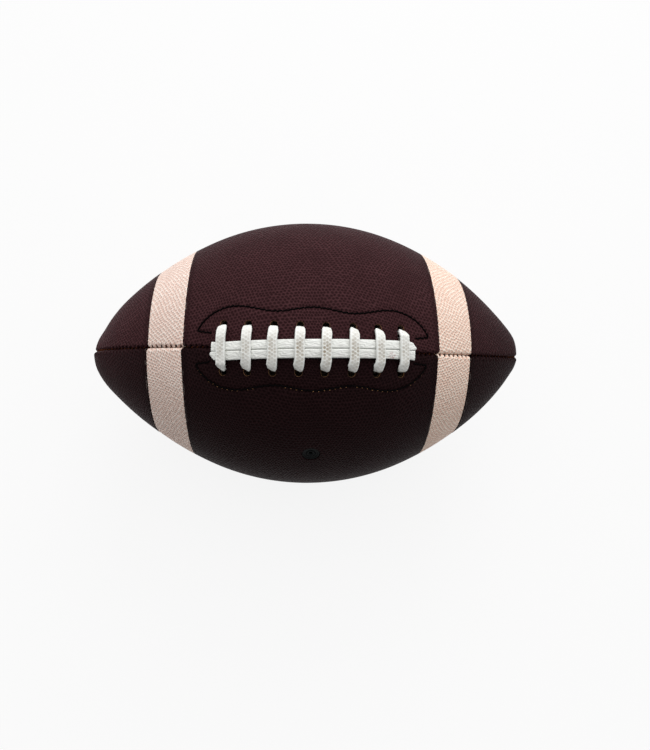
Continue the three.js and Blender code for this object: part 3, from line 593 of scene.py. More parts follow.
def store_values(mesh, name, values):
    """Gives each point of a mesh a number that its material reads."""
    layer = mesh.attributes.new(name, "FLOAT", "POINT")
    layer.data.foreach_set("value", values.astype(np.float32).ravel())


def shade(mesh, sharp):
    """Smooth faces, apart from edges that are sharper than this many degrees."""
    mesh.polygons.foreach_set("use_smooth", np.ones(len(mesh.polygons), bool))
    mesh.set_sharp_from_angle(angle=math.radians(sharp))
    mesh.update()


def finish_piece(piece, slot, node, *materials, sharp=40):
    """Smooths a piece, gives it its materials, hangs it from the root body and hides the part that it
    stands for.
    """
    shade(piece.data, sharp)
    piece.data.materials.clear()
    for material in materials:
        piece.data.materials.append(material)
    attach(piece, "root")
    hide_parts(node)


# Panels


def seam_angle(s, across, depth):
    """The angle from a seam at which a point of this depth is this far from the seam's plane."""
    _, r, lean = profile(s)
    return np.arcsin(np.clip(across / (r - depth * np.cos(lean)), -1, 1))


def edge_share(s):
    """How much of their full size the panels' edges have."""
    return np.minimum(1, skin_radius(s) / FULL_EDGE_RADIUS)


def edge_sizes(s):
    """Half the seam's gap, the roll and the lip of a panel's edge, drawn in towards the tips."""
    share = edge_share(s)
    lip = COVER_THICKNESS + share * (FIT + LINING_THICKNESS)
    return share * SEAM_GAP / 2, share * EDGE_ROLL, lip


def stitch_pull(s, way, at_laces):
    """How strongly a stitch pulls at a panel's edge, from 0 between stitches to 1."""
    phase = (s - way * SEAM_SLANT / 2) / SEAM_PITCH
    pull = np.maximum(0, np.cos(2 * math.pi * phase)) ** SEAM_PULL_POWER
    if at_laces:
        pull = pull * smoothstep(np.abs(s), LACE_END - SEAM_PULL_FADE, LACE_END)
    return pull * smoothstep(TIP_ARC - np.abs(s), SEAM_THREAD_END_RADIUS, 2 * SEAM_THREAD_END_RADIUS)


def edge_rows(panel, s, sunk, way, wraps):
    """s, angles from the seam and depths of a panel's first (way 1) or last (-1) rolled edge, for wraps
    from its wall to its top, and how deep it lies in the slots that the stitches pull open."""
    gap, roll, _ = (a[:, None] for a in edge_sizes(s))
    s, sunk = s[:, None], sunk[:, None]
    bend = roll - sunk
    depth = roll - bend * np.cos(wraps)
    drawn = s - np.sign(s) * EDGE_DRIFT * (depth - sunk)
    pull = stitch_pull(drawn - np.sign(s) * SLOT_LEAN * depth, way, panel["side"] == way)
    pull = pull * np.where(s * way < 0, 1, SEAM_PULL_SHARE)
    back = pull * np.sin(wraps) * SEAM_PULL * (roll / EDGE_ROLL)
    depth = depth + SEAM_PULL_DEPTH * back * np.sin(wraps)
    angles = seam_angle(s, gap + roll - bend * np.sin(wraps) + back, depth)
    return drawn, angles, depth, pull * np.sin(wraps) ** 4


def stitch_line(s):
    """Arc from the lace seam to the facing's stitches."""
    along = np.abs(s)
    wave = FACING_BASE + FACING_WAVE * np.cos(2 * math.pi * along / FACING_WAVELENGTH)
    share = np.clip((along - FACING_WAVELENGTH) / FACING_LOBE, 0, 1)
    height = FACING_BASE + FACING_WAVE - FACING_CORNER
    lobe = FACING_CORNER + height * (1 - share**2) ** FACING_LOBE_POWER
    return np.where(along <= FACING_WAVELENGTH, wave, lobe)


def stitch_route(side, step):
    """Points (s, t) along the whole line of a facing's stitches, a step apart."""
    share = np.linspace(-1, 1, 801)
    s = FACING_END * np.sin(share * QUARTER)
    back = FACING_END - FACING_STITCH_RETURN
    inner = FACING_CORNER - FACING_STITCH_DROP
    s = np.concatenate([[-back], s, [back]])
    t = np.concatenate([[inner], stitch_line(s[1:-1]), [inner]])
    s, t = s + FACING_SHIFTS[side], t + FACING_OFFSETS[side] + FACING_SKEWS[side] * s
    reached = reached_along(np.stack([s, t], -1))
    stops = np.arange(0, reached[-1], step)
    return np.interp(stops, reached, s), np.interp(stops, reached, t)


def crossing_stops():
    return np.arange(CROSSINGS) * LACE_PITCH - LAST_CROSSING


def at_crossing(values, s):
    """The value at s of one that is given for each crossing."""
    return np.interp(s, crossing_stops(), values)


def settled(s):
    """s moved as far as the nearest crossings or strand ends lie from even steps."""
    end = LAST_CROSSING + TAIL_REACH
    stops = [-end, *crossing_stops(), end]
    return s + np.interp(s, stops, [END_SHIFTS[0], *CROSSING_SHIFTS, END_SHIFTS[1]])


def hole_offset(side, s):
    return HOLE_OFFSETS[side] + HOLE_SKEWS[side] * s


def hole_places(side):
    """(s, from, to) of each lace hole of a panel. The one that is passed twice is longer."""
    twice = CROSSINGS - 1 if side > 0 else 0
    inset = BUNCH_THICKNESS / 2 + LACE_GAP
    for i, s in enumerate(crossing_stops()):
        offset = hole_offset(side, s)
        start = (SECOND_PASS if i == twice else offset) - inset
        to = offset + BUNCH_THICKNESS / 2 + HOLE_SHOWN[side]
        yield settled(s) + at_crossing(CROSSING_LEANS[side], s), start, to


def lace_relief(side, s, t):
    """Height of the skin beside the laces: the stitched groove, and the pull at each hole."""
    height = np.zeros_like(s)
    line_s, line_t = stitch_route(side, FACING_GROOVE_WIDTH)
    near = (np.abs(s) < FACING_END + FACING_SWELL_END) & (t < FINE_BELT)
    apart = np.full(near.sum(), np.inf)
    for here_s, here_t in zip(line_s, line_t):
        apart = np.minimum(apart, (s[near] - here_s) ** 2 + (t[near] - here_t) ** 2)
    groove = np.exp(-apart / FACING_GROOVE_WIDTH**2)
    swell = np.exp(-((np.sqrt(apart) - FACING_SWELL_APART) ** 2) / FACING_SWELL_SPREAD)
    height[near] += FACING_SWELL * swell - FACING_GROOVE_DEPTH * groove
    for hole_s, start, to in hole_places(side):
        beyond = np.abs(t - (start + to) / 2) - (to - start) / 2 + 1
        reach = np.hypot(s - hole_s, np.maximum(0, beyond))
        height += HOLE_RIM_HEIGHT * np.exp(-((reach - HOLE_RIM_REACH) ** 2) / HOLE_RIM_SPREAD)
        height -= HOLE_DIP * np.exp(-(reach**2) / HOLE_DIP_SPREAD)
    return height


def recess_depth(panel, s):
    """How far a panel's skin is sunk under its stripes."""
    depth = np.zeros_like(s)
    for end in (-1, 1):
        apart = np.abs(s - stripe_middle(panel, end))
        share = 1 - np.clip((apart - RECESS_HALF) / RECESS_SLOPE, 0, 1)
        depth = np.maximum(depth, share * (STRIPE_THICKNESS + RECESS_SPACE))
    return depth


def stripe_middle(panel, end):
    return end * STRIPE_MIDDLE + panel["shift"]


def panel_columns(panel):
    """Shares of the way from one seam to the next, closer together near the laces."""
    whole = QUARTER * RADIUS
    if panel["side"] == 0:
        return np.linspace(0, 1, round(whole / COLUMN))[1:-1]
    near = FINE_BELT / whole
    fine = np.linspace(0, near, round(near * whole / FINE_COLUMN))
    coarse = np.linspace(near, 1, round((1 - near) * whole / COLUMN))
    shares = np.concatenate([fine[1:], coarse[1:-1]])
    return shares if panel["side"] > 0 else 1 - shares[::-1]


def skin_rows(panel, s, depth, wraps):
    """s, angles and depths across a panel's skin, sunk by depth, with its rolled edges and their slots."""
    columns = panel_columns(panel)
    first, last = (edge_rows(panel, s, depth, way, wraps) for way in (1, -1))
    start, end = first[1][:, -1:], QUARTER - last[1][:, -1:]
    wide = np.ones(len(columns))
    plain = [value[:, None] * wide for value in (s, depth, 0 * s)]
    inner = (plain[0], start + (end - start) * columns, *plain[1:])
    last = (last[0], QUARTER - last[1], *last[2:])
    rows = [np.concatenate([a, b, c[:, ::-1]], 1) for a, b, c in zip(first, inner, last)]
    drawn, angles, depths, slots = rows
    return drawn, angles, depths - puckers(panel, s, angles), slots


def puckers(panel, s, angles):
    """Height that the stitches, the laces and the stretch of the leather give the skin."""
    r = skin_radius(s)[:, None]
    grid = np.repeat(s[:, None], angles.shape[1], 1)
    arc, far = angles * r, (QUARTER - angles) * r
    total = np.zeros_like(arc)
    for way, apart in ((1, arc), (-1, far)):
        pull = stitch_pull(s, way, panel["side"] == way)[:, None]
        fade = np.exp(-np.maximum(apart - PUCKER_FULL, 0) / PUCKER_FADE)
        total += fade * smoothstep(apart, *PUCKER_EDGE) * (PUCKER_SWELL - PUCKER_DIP * pull)
    if panel["side"] != 0:
        total += lace_relief(panel["side"], grid, arc if panel["side"] > 0 else far)
    along, around = STRETCH_LENGTHS
    stretch = ripples(grid / along, 3) * ripples(arc / around + panel["start"], 5)
    return total + STRETCH_HEIGHT * stretch * smoothstep(r, *STRETCH_RADII)


def panel_stops(panel):
    """Rings of a panel, with pairs of rings at the ends of each recess."""
    stops = even_stops(COVER_END, PANEL_STEP)
    edges = [way * (RECESS_HALF + extra) for way in (-1, 1) for extra in (0, RECESS_SLOPE)]
    pairs = [stripe_middle(panel, end) + edge for end in (-1, 1) for edge in edges]
    apart = np.abs(stops[:, None] - np.array(pairs)).min(1)
    return np.sort(np.concatenate([stops[apart > LEAST_STEP], pairs]))


def closed_section(panel, s, drawn, angles, depths):
    """Rings of a panel: its lip, its skin, its lip, and back along its inner face."""
    gap, roll, lip = (a[:, None] for a in edge_sizes(s))
    foot = np.concatenate([seam_angle(s[:, None], a, lip) for a in (gap + roll, gap)], 1)
    lips = np.repeat(lip, 2, 1)
    corner = seam_angle(s[:, None], gap + roll, COVER_THICKNESS)
    back = corner + (QUARTER - 2 * corner) * np.linspace(1, 0, INNER_COLUMNS)
    under = np.full_like(back, COVER_THICKNESS)
    ring = np.concatenate([foot, angles, QUARTER - foot[:, ::-1], back], 1)
    depth = np.concatenate([lips, depths, lips, under], 1) + tip_roll(s)[:, None]
    ends = [np.repeat(drawn[:, column, None], 2, 1) for column in (0, -1)]
    along = np.concatenate([ends[0], drawn, ends[1], np.repeat(s[:, None], INNER_COLUMNS, 1)], 1)
    return place(along, panel["start"] + ring, -depth, tip_slide(panel, s)[:, None])


def stadium(half_width, length, segments=12):
    """An outline with round ends, its length along the second axis."""
    turn = np.linspace(0, math.pi, segments)
    far = np.stack([half_width * np.cos(turn), length / 2 - half_width + half_width * np.sin(turn)], -1)
    return np.concatenate([far, -far])


def lace_hole(side, s, start, to):
    """A plug along the skin's normal that widens at the skin, from start to to round the ball."""
    angle = side * (start + to) / 2 / skin_radius(np.array(s))
    along, around, out = directions(np.array(s), angle)
    above = 2 * RAW_EDGE
    rings = []
    for height, bevels in ((-HOLE_DEPTH, 0), (-RAW_EDGE, 0), (above, (RAW_EDGE + above) / RAW_EDGE)):
        wider = bevels * HOLE_BEVELS[side]
        outline = stadium(HOLE_WIDTH / 2 + wider, to - start + 2 * wider)
        rings.append(outline[:, :1] * along + outline[:, 1:] * side * around + height * out)
    rings = place(s, angle, 0) + MM * np.stack(rings)
    return loft("hole", rings[:, ::-1] if side > 0 else rings)


def lace_holes(side):
    return [lace_hole(side, *spot) for spot in hole_places(side)]


def valve_bore(diameter):
    turn = np.linspace(2 * math.pi, 0, 64, endpoint=False)
    ring = diameter / 2 * np.stack([np.cos(turn), np.sin(turn), 0 * turn], -1)
    rings = np.stack([ring + [0, 0, RADIUS + height] for height in (-2 * VALVE_DEPTH, VALVE_BORE_TOP)])
    return loft("bore", turned_to_valve(rings))


def turned_to_valve(points):
    """Points given with the valve's axis along Z, turned to its place on the ball."""
    turn = np.array(Matrix.Rotation(-VALVE_ANGLE, 3, "X"))
    return (points @ turn.T + [0, 0, AXIS_HEIGHT]) * MM


def cover_panel(panel):
    s = panel_stops(panel)
    *skin, _ = skin_rows(panel, s, recess_depth(panel, s), EDGE_WRAPS)
    rings = closed_section(panel, s, *skin)
    if panel["side"] == 0:
        rings[..., 2] = np.maximum(rings[..., 2], 0)
    piece = add_object(f"cover_{panel['name']}", loft("cover", rings))
    if panel["side"] != 0:
        plugs = lace_holes(panel["side"])
        if panel["side"] < 0:
            plugs.append(valve_bore(VALVE_DIAMETER + VALVE_BORE_PLAY))
        carve(piece, joined("holes", plugs))
    lay_out_skin(piece.data, panel["start"], panel["shift"])
    finish_piece(piece, "cover", f"panel_{panel['name']}", LEATHERS[panel["name"]], RAW_LEATHER)
    show_raw_edges(piece.data)


def show_raw_edges(mesh):
    """The walls of the holes near the skin, and all of the inner face, show the raw leather. Deeper in the
    holes the walls keep the dark cover leather, as painted shade.
    """
    centres = np.array([face.center for face in mesh.polygons])
    normals = np.array([face.normal for face in mesh.polygons])
    s, angle, height = locate(centres)
    _, _, out = directions(s, angle)
    facing = (normals * out).sum(1)
    from_seam = np.abs(np.mod(angle + QUARTER / 2, QUARTER) - QUARTER / 2) * skin_radius(s)
    by_laces = (np.abs(s) < LACE_END) & (from_seam > HOLE_BELT[0]) & (from_seam < HOLE_BELT[1])
    # Below RAW_EDGE a wall keeps the dark cover leather: painted shade.
    wall = by_laces & (np.abs(facing) < WALL_FACING) & (height > -RAW_EDGE)
    raw = wall | ((facing < -INNER_FACING) & (height < -COVER_THICKNESS / 2))
    mesh.polygons.foreach_set("material_index", raw.astype(np.int32))


def stripe(panel, end):
    """A stripe in its recess, with a slightly ragged edge, wrapped over both rolled edges."""
    half = STRIPE_WIDTH / 2
    name = "right" if end > 0 else "left"
    second, third = (half - inset for inset in STRIPE_RINGS)
    inside = np.linspace(-third, third, round(STRIPE_WIDTH / STRIPE_STEP))
    offsets = np.concatenate([[-half, -second], inside, [second, half]])
    rounding = STRIPE_ROUNDING * (1 - smoothstep(half - np.abs(offsets), 0, STRIPE_ROUNDING_WIDTH))
    s = stripe_middle(panel, end) + offsets
    tops = (rounding, np.full_like(s, STRIPE_THICKNESS))
    sheets = [skin_rows(panel, s, depth, STRIPE_WRAPS) for depth in tops]
    drawn, angles, depths, slots = (np.concatenate([top, low[:, ::-1]], 1) for top, low in zip(*sheets))
    arc = angles * skin_radius(s)[:, None]
    ragged = [ripples(arc * RAGGED_FINENESS, seed) for seed in ((21, 34) if end < 0 else (32, 45))]
    near = [np.exp(-(half - way * offsets) / RAGGED_REACH)[:, None] for way in (-1, 1)]
    shifted = drawn + STRIPE_RAGGEDNESS * (ragged[0] * near[0] + ragged[1] * near[1])
    rings = place(shifted, panel["start"] + angles, -depths)
    piece = add_object(f"band_{name}_{panel['name']}", loft("band", rings))
    # How far each point lies in a slot, for the stripe's painted shade there.
    store_values(piece.data, "slot", slots)
    lay_out_skin(piece.data, panel["start"])
    finish_piece(piece, "stripe", f"stripe_{name}_{panel['name']}", STRIPE_LEATHERS[end])


# Inner layers


def lining_sheet(panel, end, step):
    """A sheet that follows a panel at the lining's depth, as far as end."""
    s = even_stops(end, step)
    columns = np.linspace(0, 1, round(QUARTER * RADIUS / step))
    gap, roll, _ = (a[:, None] for a in edge_sizes(s))
    slide = tip_slide(panel, s)[:, None]
    rings = []
    for depth, shares in ((LINING_TOP, columns), (LINING_BOTTOM, columns[::-1])):
        first = seam_angle(s[:, None], gap + roll + FIT, depth)
        angles = panel["start"] + first + (QUARTER - 2 * first) * shares
        rings.append(place(s[:, None], angles, -depth, slide))
    return loft("sheet", np.concatenate(rings, 1))


def facing_space(side, margin):
    """The space of a lace facing and a margin round it, through the whole depth of the lining."""
    end = FACING_END + margin
    s = np.linspace(-end, end, 160)
    line = stitch_line(s) + FACING_OFFSETS[side] + FACING_SKEWS[side] * s
    s = s + FACING_SHIFTS[side]
    out = (line + margin) / skin_radius(s)
    angles = np.stack([0 * out, out, out, 0 * out], 1)
    depth = np.array([0, 0, 1, 1]) * 2 * LINING_BOTTOM
    rings = place(s[:, None], side * angles, -depth)
    return loft("space", rings if side > 0 else rings[:, ::-1])


def lining(panel):
    piece = add_object(f"backing_{panel['name']}", lining_sheet(panel, LINING_END, LINING_STEP))
    if panel["side"] != 0:
        carve(piece, facing_space(panel["side"], FACING_MARGIN + FIT))
    if panel["side"] < 0:
        carve(piece, valve_bore(VALVE_DIAMETER + 2 * FIT))
    lay_out_skin(piece.data, panel["start"])
    finish_piece(piece, "lining", f"lining_{panel['name']}", LINING_CLOTH)


def lace_facing(panel):
    """The doubled cloth behind a row of lace holes."""
    side = panel["side"]
    where = SIDE_NAMES[side]
    sheet = lining_sheet(panel, FACING_END + 2 * FACING_MARGIN, LINING_STEP / 2)
    piece = add_object(f"eyelet_facing_{where}", sheet)
    carve(piece, facing_space(side, FACING_MARGIN), "INTERSECT")
    carve(piece, joined("holes", lace_holes(side)))
    lay_out_skin(piece.data, panel["start"])
    finish_piece(piece, "facing", f"lace_facing_{where}", FACING_CLOTH)


def tongue():
    """A strip with round ends under the inner runs of the lace."""
    s = LACE_END * np.sin(np.linspace(-TONGUE_REACH, TONGUE_REACH, 90) * QUARTER)
    edge = TONGUE_HALF_WIDTH * np.sqrt(1 - (s / LACE_END) ** TONGUE_END_POWER) / skin_radius(s)
    shares = np.linspace(-1, 1, 24)
    soft = TONGUE_ROUNDING * np.abs(shares) ** 8
    angles = edge[:, None] * np.concatenate([shares, shares[::-1]])
    depth = np.concatenate([TONGUE_TOP + soft, TONGUE_BOTTOM - soft[::-1]])
    piece = add_object("tongue_strip", loft("tongue", place(s[:, None], angles, -depth)))
    lay_out_skin(piece.data, -QUARTER / 2)
    finish_piece(piece, "facing", "lace_tongue", FACING_CLOTH)


def bladder_depth(s, angles):
    """Close under the linings, and pressed in by the tongue."""
    from_seam = np.abs(np.arctan2(np.sin(angles), np.cos(angles))) * skin_radius(s)
    full = TONGUE_HALF_WIDTH + DIMPLE_MARGIN
    across = 1 - smoothstep(from_seam, full, full + DIMPLE_SLOPE)
    along = 1 - smoothstep(np.abs(s), LACE_END, STRIPE_INNER)
    pressed = (TONGUE_BOTTOM + FIT - BLADDER_TOP) * across * along
    return BLADDER_TOP + pressed + BLADDER_TIP_SPACE * tip_share(s)


def bladder():
    s = even_stops(LINING_END, LINING_STEP)[:, None]
    angles = np.linspace(0, 2 * math.pi, 150, endpoint=False)
    outer, inner = (place(s, angles, -bladder_depth(s, angles) - inset) for inset in (0, BLADDER_WALL))
    piece = add_object("air_bladder", loft("bladder", outer))
    carve(piece, loft("hollow", inner))
    carve(piece, valve_bore(VALVE_DIAMETER + 2 * FIT))
    finish_piece(piece, "bladder", "bladder", BLADDER_RUBBER)


# Valve


def turned(corners, bend, segments=72):
    """A closed body turned about the valve's axis, from corners as [radius, height above the skin]."""
    corners = rounded(corners, bend)
    turn = np.linspace(0, 2 * math.pi, segments, endpoint=False)[:, None]
    across, height = corners.T
    rings = np.stack([across * np.cos(turn), across * np.sin(turn), height + RADIUS + 0 * turn], -1)
    count = len(corners)
    faces = ring_faces(segments + 1, count) % (segments * count)
    return build_mesh("turned", turned_to_valve(rings.reshape(-1, 3)), faces)


def rounded(corners, bend, steps=4):
    """Corners with each bend softened by a short arc."""
    points = np.array(corners, float)
    soft = []
    for before, here, after in zip(np.roll(points, 1, 0), points, np.roll(points, -1, 0)):
        legs = [other - here for other in (before, after)]
        reach = [min(bend, np.linalg.norm(leg) / 2.5) for leg in legs]
        start, end = (here + leg / max(np.linalg.norm(leg), 1e-9) * r for leg, r in zip(legs, reach))
        for share in np.linspace(0, 1, steps):
            soft.append((1 - share) ** 2 * start + 2 * share * (1 - share) * here + share**2 * end)
    return np.array(soft)


def valve_housing():
    outer, bore, face = VALVE_DIAMETER / 2, PLUG_DIAMETER / 2 + FIT, -VALVE_RECESS
    rim, flange = face + VALVE_RIM_HEIGHT, VALVE_FLANGE_DIAMETER / 2
    droop = RADIUS - math.sqrt(RADIUS**2 - flange**2)
    flange_top = -(BLADDER_TOP + BLADDER_WALL + FACET_SAG + droop + FIT)
    flange_bottom = flange_top - VALVE_FLANGE_THICKNESS
    corners = [
        [bore, -VALVE_DEPTH],
        [outer, -VALVE_DEPTH],
        [outer, flange_bottom],
        [flange, flange_bottom],
        [flange, flange_top],
        [outer, flange_top],
        [outer, rim],
        [outer - VALVE_RIM_WIDTH, rim],
        [outer - VALVE_RIM_WIDTH - VALVE_RIM_SLOPE, face],
        [bore, face],
    ]
    piece = add_object("valve_body", turned(corners, VALVE_BEND))
    finish_piece(piece, "valve", "valve_housing", VALVE_RUBBER, sharp=50)


def valve_plug():
    outer, needle, mouth = (d / 2 for d in (PLUG_DIAMETER, NEEDLE_HOLE_DIAMETER, NEEDLE_HOLE_MOUTH))
    face = -VALVE_RECESS
    corners = [
        [PLUG_CENTRE, -VALVE_DEPTH],
        [outer, -VALVE_DEPTH],
        [outer, face],
        [(outer + mouth) / 2, face + PLUG_DOME],
        [mouth, face],
        [needle, face - (mouth - needle)],
        [needle, face - NEEDLE_HOLE_DEPTH],
        [PLUG_CENTRE, face - NEEDLE_HOLE_DEPTH],
    ]
    piece = add_object("valve_core", turned(corners, PLUG_BEND))
    finish_piece(piece, "valve", "valve_plug", VALVE_RUBBER, sharp=50)


# Threads


def seam_thread(where, seam, start, end):
    """A thread that whips across a seam at each stitch, and follows the tips of the panels beside it."""
    s = np.arange(start, end, SEAM_THREAD_STEP)
    phase = 2 * math.pi * s / SEAM_PITCH
    rise = np.maximum(0, np.cos(phase)) ** SEAM_THREAD_POWER
    across = edge_share(s) * SEAM_THREAD_SWING * np.sin(phase)
    depth = SEAM_THREAD_DEPTH - TIP_THREAD_RISE * tip_share(s) + SEAM_THREAD_DIP * (1 - rise)
    slide = (tip_slide(PANELS[seam - 1], s) + tip_slide(PANELS[seam], s)) / 2
    path = place(s, seam * QUARTER + across / skin_radius(s), -depth, slide)
    piece = add_object(f"seam_stitches_{where}", tube("thread", path, SEAM_THREAD_DIAMETER))
    finish_piece(piece, "thread", f"seam_thread_{where}", SEAM_THREAD, sharp=60)


def facing_thread(side):
    """Stitches that lie in their groove and dip into the leather between two."""
    s, t = stitch_route(side, FACING_THREAD_STEP)
    along = np.arange(len(s)) * FACING_THREAD_STEP / FACING_STITCH_PITCH
    dip = np.abs(np.cos(math.pi * along)) ** FACING_DIP_POWER
    height = FACING_THREAD_RISE - FACING_GROOVE_DEPTH - FACING_THREAD_DIP * dip
    slanted = np.sin(2 * math.pi * along) + np.sin(4 * math.pi * along) / 2
    beside = t - FACING_THREAD_SWING * slanted
    path = place(s, side * beside / skin_radius(s), height)
    thread = tube("thread", path, FACING_THREAD_DIAMETER, FACING_THREAD_SIDES)
    specks = needle_specks(side) if side < 0 else []
    where = SIDE_NAMES[side]
    piece = add_object(f"facing_stitches_{where}", joined("stitches", [thread, *specks]))
    finish_piece(piece, "thread", f"facing_thread_{where}", FACING_THREAD, RAW_LEATHER, sharp=60)
    thread_faces = (len(path) - 1) * FACING_THREAD_SIDES
    is_speck = np.arange(len(piece.data.polygons)) >= thread_faces
    piece.data.polygons.foreach_set("material_index", is_speck.astype(np.int32))


def needle_specks(side):
    """Small tufts of raw fibre beside the stitches, at most of the needle holes."""
    random = np.random.default_rng(17)
    s, t = stitch_route(side, FACING_STITCH_PITCH)
    inner = slice(SPECK_FIRST, -SPECK_FIRST)
    share = np.linspace(-1, 1, 5)
    specks = []
    for here_s, here_t in zip(s[inner], t[inner]):
        if random.random() < SPECKS_MISSING:
            continue
        along = share * (NEEDLE_SPECK * random.uniform(0.4, 1.0))
        apart = SPECK_APART + 0.15 * random.uniform(-1, 1)
        beside = here_t + apart + 0.2 * along * random.uniform(-1, 1)
        stops = here_s + along
        path = place(stops, side * beside / skin_radius(stops), SPECK_HEIGHT - SPECK_BEND * share**2)
        specks.append(tube("speck", path, SPECK_DIAMETER * random.uniform(0.7, 1.1), 6))
    return specks


# Lace

# Columns of a station's values
PLACE, WIDTH, SIZE, ACROSS, DOTS = slice(0, 3), slice(3, 4), slice(3, 5), slice(5, 8), slice(8, 9)


def station(s, t, height, size, across, dots=0.0, bend=LACE_BEND):
    """A corner of the lace's route, with its section's width, thickness and direction across, and how far
    it has dots instead of ridges. The bend rounds the corner."""
    return np.array([s, t, height, *size, *across, dots]), bend


FULL_LACE = (LACE_WIDTH, LACE_THICKNESS)
RIM_LACE = (LACE_WIDTH - RIM_NARROWING, LACE_THICKNESS)
BUNCHED_LACE = (BUNCH_WIDTH, BUNCH_THICKNESS)
INNER_LACE = (INNER_WIDTH, INNER_THICKNESS)
ALONG = (1, 0, 0)  # the lace's width lies along the ball


def crossing_half(s, side, passed_twice):
    """From the top of a crossing down into its rear (side 1) or front (-1) hole."""
    shelf = STRAND_OFFSET + STRAND_WIDTH / 2 + LACE_GAP
    reach = max(shelf, SECOND_PASS + LACE_GAP) if passed_twice else shelf
    run = LOWER_RUN if passed_twice else INNER_RUN
    lean = at_crossing(CROSSING_LEANS[side], s)
    slope = at_crossing(CROSSING_SLANTS[side], s)
    hole_s, hole_t = s + lean, side * hole_offset(side, s)
    foot = (FOOT_WIDTHS[side], LACE_THICKNESS)
    foot_s = s + FOOT_LEAN * lean + FOOT_SHIFTS[side]
    foot_t = side * max(hole_offset(side, s) - FOOT_REACHES[side], reach + LACE_GAP)
    return [
        station(s, side * reach, CROSSING_HEIGHT, FULL_LACE, ALONG, 1, ARCH_BEND),
        station(foot_s, foot_t, FOOT_HEIGHT, foot, (1, -slope / 2, 0), 1),
        station(hole_s, hole_t, LACE_RISE, RIM_LACE, (1, -slope, 0), 1),
        station(hole_s, hole_t, -RIM_DEPTH, BUNCHED_LACE, (1, -slope / 2, 0), 0.5),
        station(hole_s, hole_t, HOLE_BOTTOM, BUNCHED_LACE, ALONG),
        station(s, hole_t, -run, INNER_LACE, ALONG),
    ]


def crossing(s, is_first, is_last):
    """Up out of its front hole, over both strands and down into its rear hole."""
    return crossing_half(s, -1, is_first)[::-1] + crossing_half(s, 1, is_last)


def strand_end():
    """A strand from its cut tail to its far end, where it folds under itself and into a hole."""
    hole_s = LAST_CROSSING + CROSSING_LEANS[1][-1]
    flat = (0, -1, STRAND_TILT)
    whole = (STRAND_WIDTH, LACE_THICKNESS)
    tail = (TAIL_WIDTH, LACE_THICKNESS)
    thin = (STRAND_WIDTH, FOLD_THICKNESS)
    fold_s, fold_t = LAST_CROSSING + FOLD_REACH, STRAND_OFFSET - 0.3
    top, low = STRAND_HEIGHT + FOLD_RISE, FIT + FOLD_LOW
    # The small offsets below keep the fold flat, and its cord under the last crossing.
    return [
        station(-LAST_CROSSING - TAIL_REACH, TAIL_WIDTH / 2 + 0.05, STRAND_HEIGHT, tail, flat),
        station(-LAST_CROSSING - LACE_WIDTH / 2, STRAND_OFFSET, STRAND_HEIGHT, whole, flat),
        station(LAST_CROSSING - 4, STRAND_OFFSET, STRAND_HEIGHT, whole, flat),
        station(LAST_CROSSING + 1.5, STRAND_OFFSET - 0.15, top - 0.1, thin, flat),
        station(fold_s, fold_t, top, thin, (FOLD_SLOPE, -1, 0), bend=FOLD_BEND),
        station(fold_s, fold_t + 0.2, low, FOLD_CORD, (FOLD_SLOPE, -0.7, 0.6), bend=FOLD_BEND),
        station(LAST_CROSSING + 2.5, fold_t + 3.2, low, FOLD_CORD, (0.8, 0.6, 0.1)),
        station(hole_s + 1.2, SECOND_PASS, low, (1.9, 1.5), (1, 0.3, 0), bend=0.9),
        station(hole_s + 1, SECOND_PASS, HOLE_BOTTOM, (1.9, 2.2), ALONG),
        station(LAST_CROSSING, SECOND_PASS, -INNER_RUN, INNER_LACE, ALONG),
    ]


def lace_stations():
    """The whole route: strand, crossings from the right end to the left, and the other strand,
    which is the first one turned half round the middle of the lacing."""
    route = strand_end()
    for i, s in enumerate(crossing_stops()[::-1]):
        route += crossing(s, i == CROSSINGS - 1, i == 0)
        if i in (0, CROSSINGS - 2):
            route.append(station(s - LACE_PITCH / 2, 0, -LOWER_RUN, INNER_LACE, ALONG))
    half_turn = np.array([-1, -1, 1, 1, 1, 1, 1, -1, 1])
    route += [(values * half_turn, bend) for values, bend in strand_end()[::-1]]
    return route


def strand_shift(s, t, height):
    """How far the strands, but not the crossings and the holes, lie to the rear of their places."""
    inner = 1 - smoothstep(np.abs(t), SECOND_PASS - STRAND_FADE, SECOND_PASS)
    upper = smoothstep(height, -STRAND_DEPTH, FIT)
    under_crossings = 1 - smoothstep(height, *STRAND_TOPS)
    shift = STRAND_SHIFT + STRAND_SKEW * s - STRAND_BOW * (s / STRAND_END) ** 2
    return shift * inner * upper * under_crossings


def round_route(route):
    """Samples of the route with each corner rounded by an arc, as far as its legs allow."""
    values = [v for v, _ in route]
    samples = [values[0]]
    for i in range(1, len(route) - 1):
        here, bend = route[i]
        legs = [(values[j] - here)[PLACE] for j in (i - 1, i + 1)]
        lengths = [np.linalg.norm(leg) for leg in legs]
        cosine = -(legs[0] @ legs[1]) / (lengths[0] * lengths[1])
        angle = math.acos(np.clip(cosine, -1, 1))
        if angle < STRAIGHT:
            samples.append(here)
            continue
        reach = min(bend * math.tan(angle / 2), 0.5 * lengths[0], 0.5 * lengths[1])
        ends = [here + (values[j] - here) * reach / length for j, length in zip((i - 1, i + 1), lengths)]
        middle = (ends[0] + ends[1])[PLACE] / 2
        chord = (ends[1] - ends[0])[PLACE]
        sweep = np.linalg.norm(chord) / 2 / math.sin(angle / 2)
        chord, outward = unit(chord), unit(here[PLACE] - middle)
        for share in np.linspace(0, 1, max(3, math.ceil(angle / LACE_TURN))):
            swept = (share - 0.5) * angle
            sample = (1 - share) * ends[0] + share * ends[1]
            sample[PLACE] = middle + chord * sweep * math.sin(swept)
            sample[PLACE] += outward * sweep * (math.cos(swept) - math.cos(angle / 2))
            samples.append(sample)
    return np.array([*samples, values[-1]])


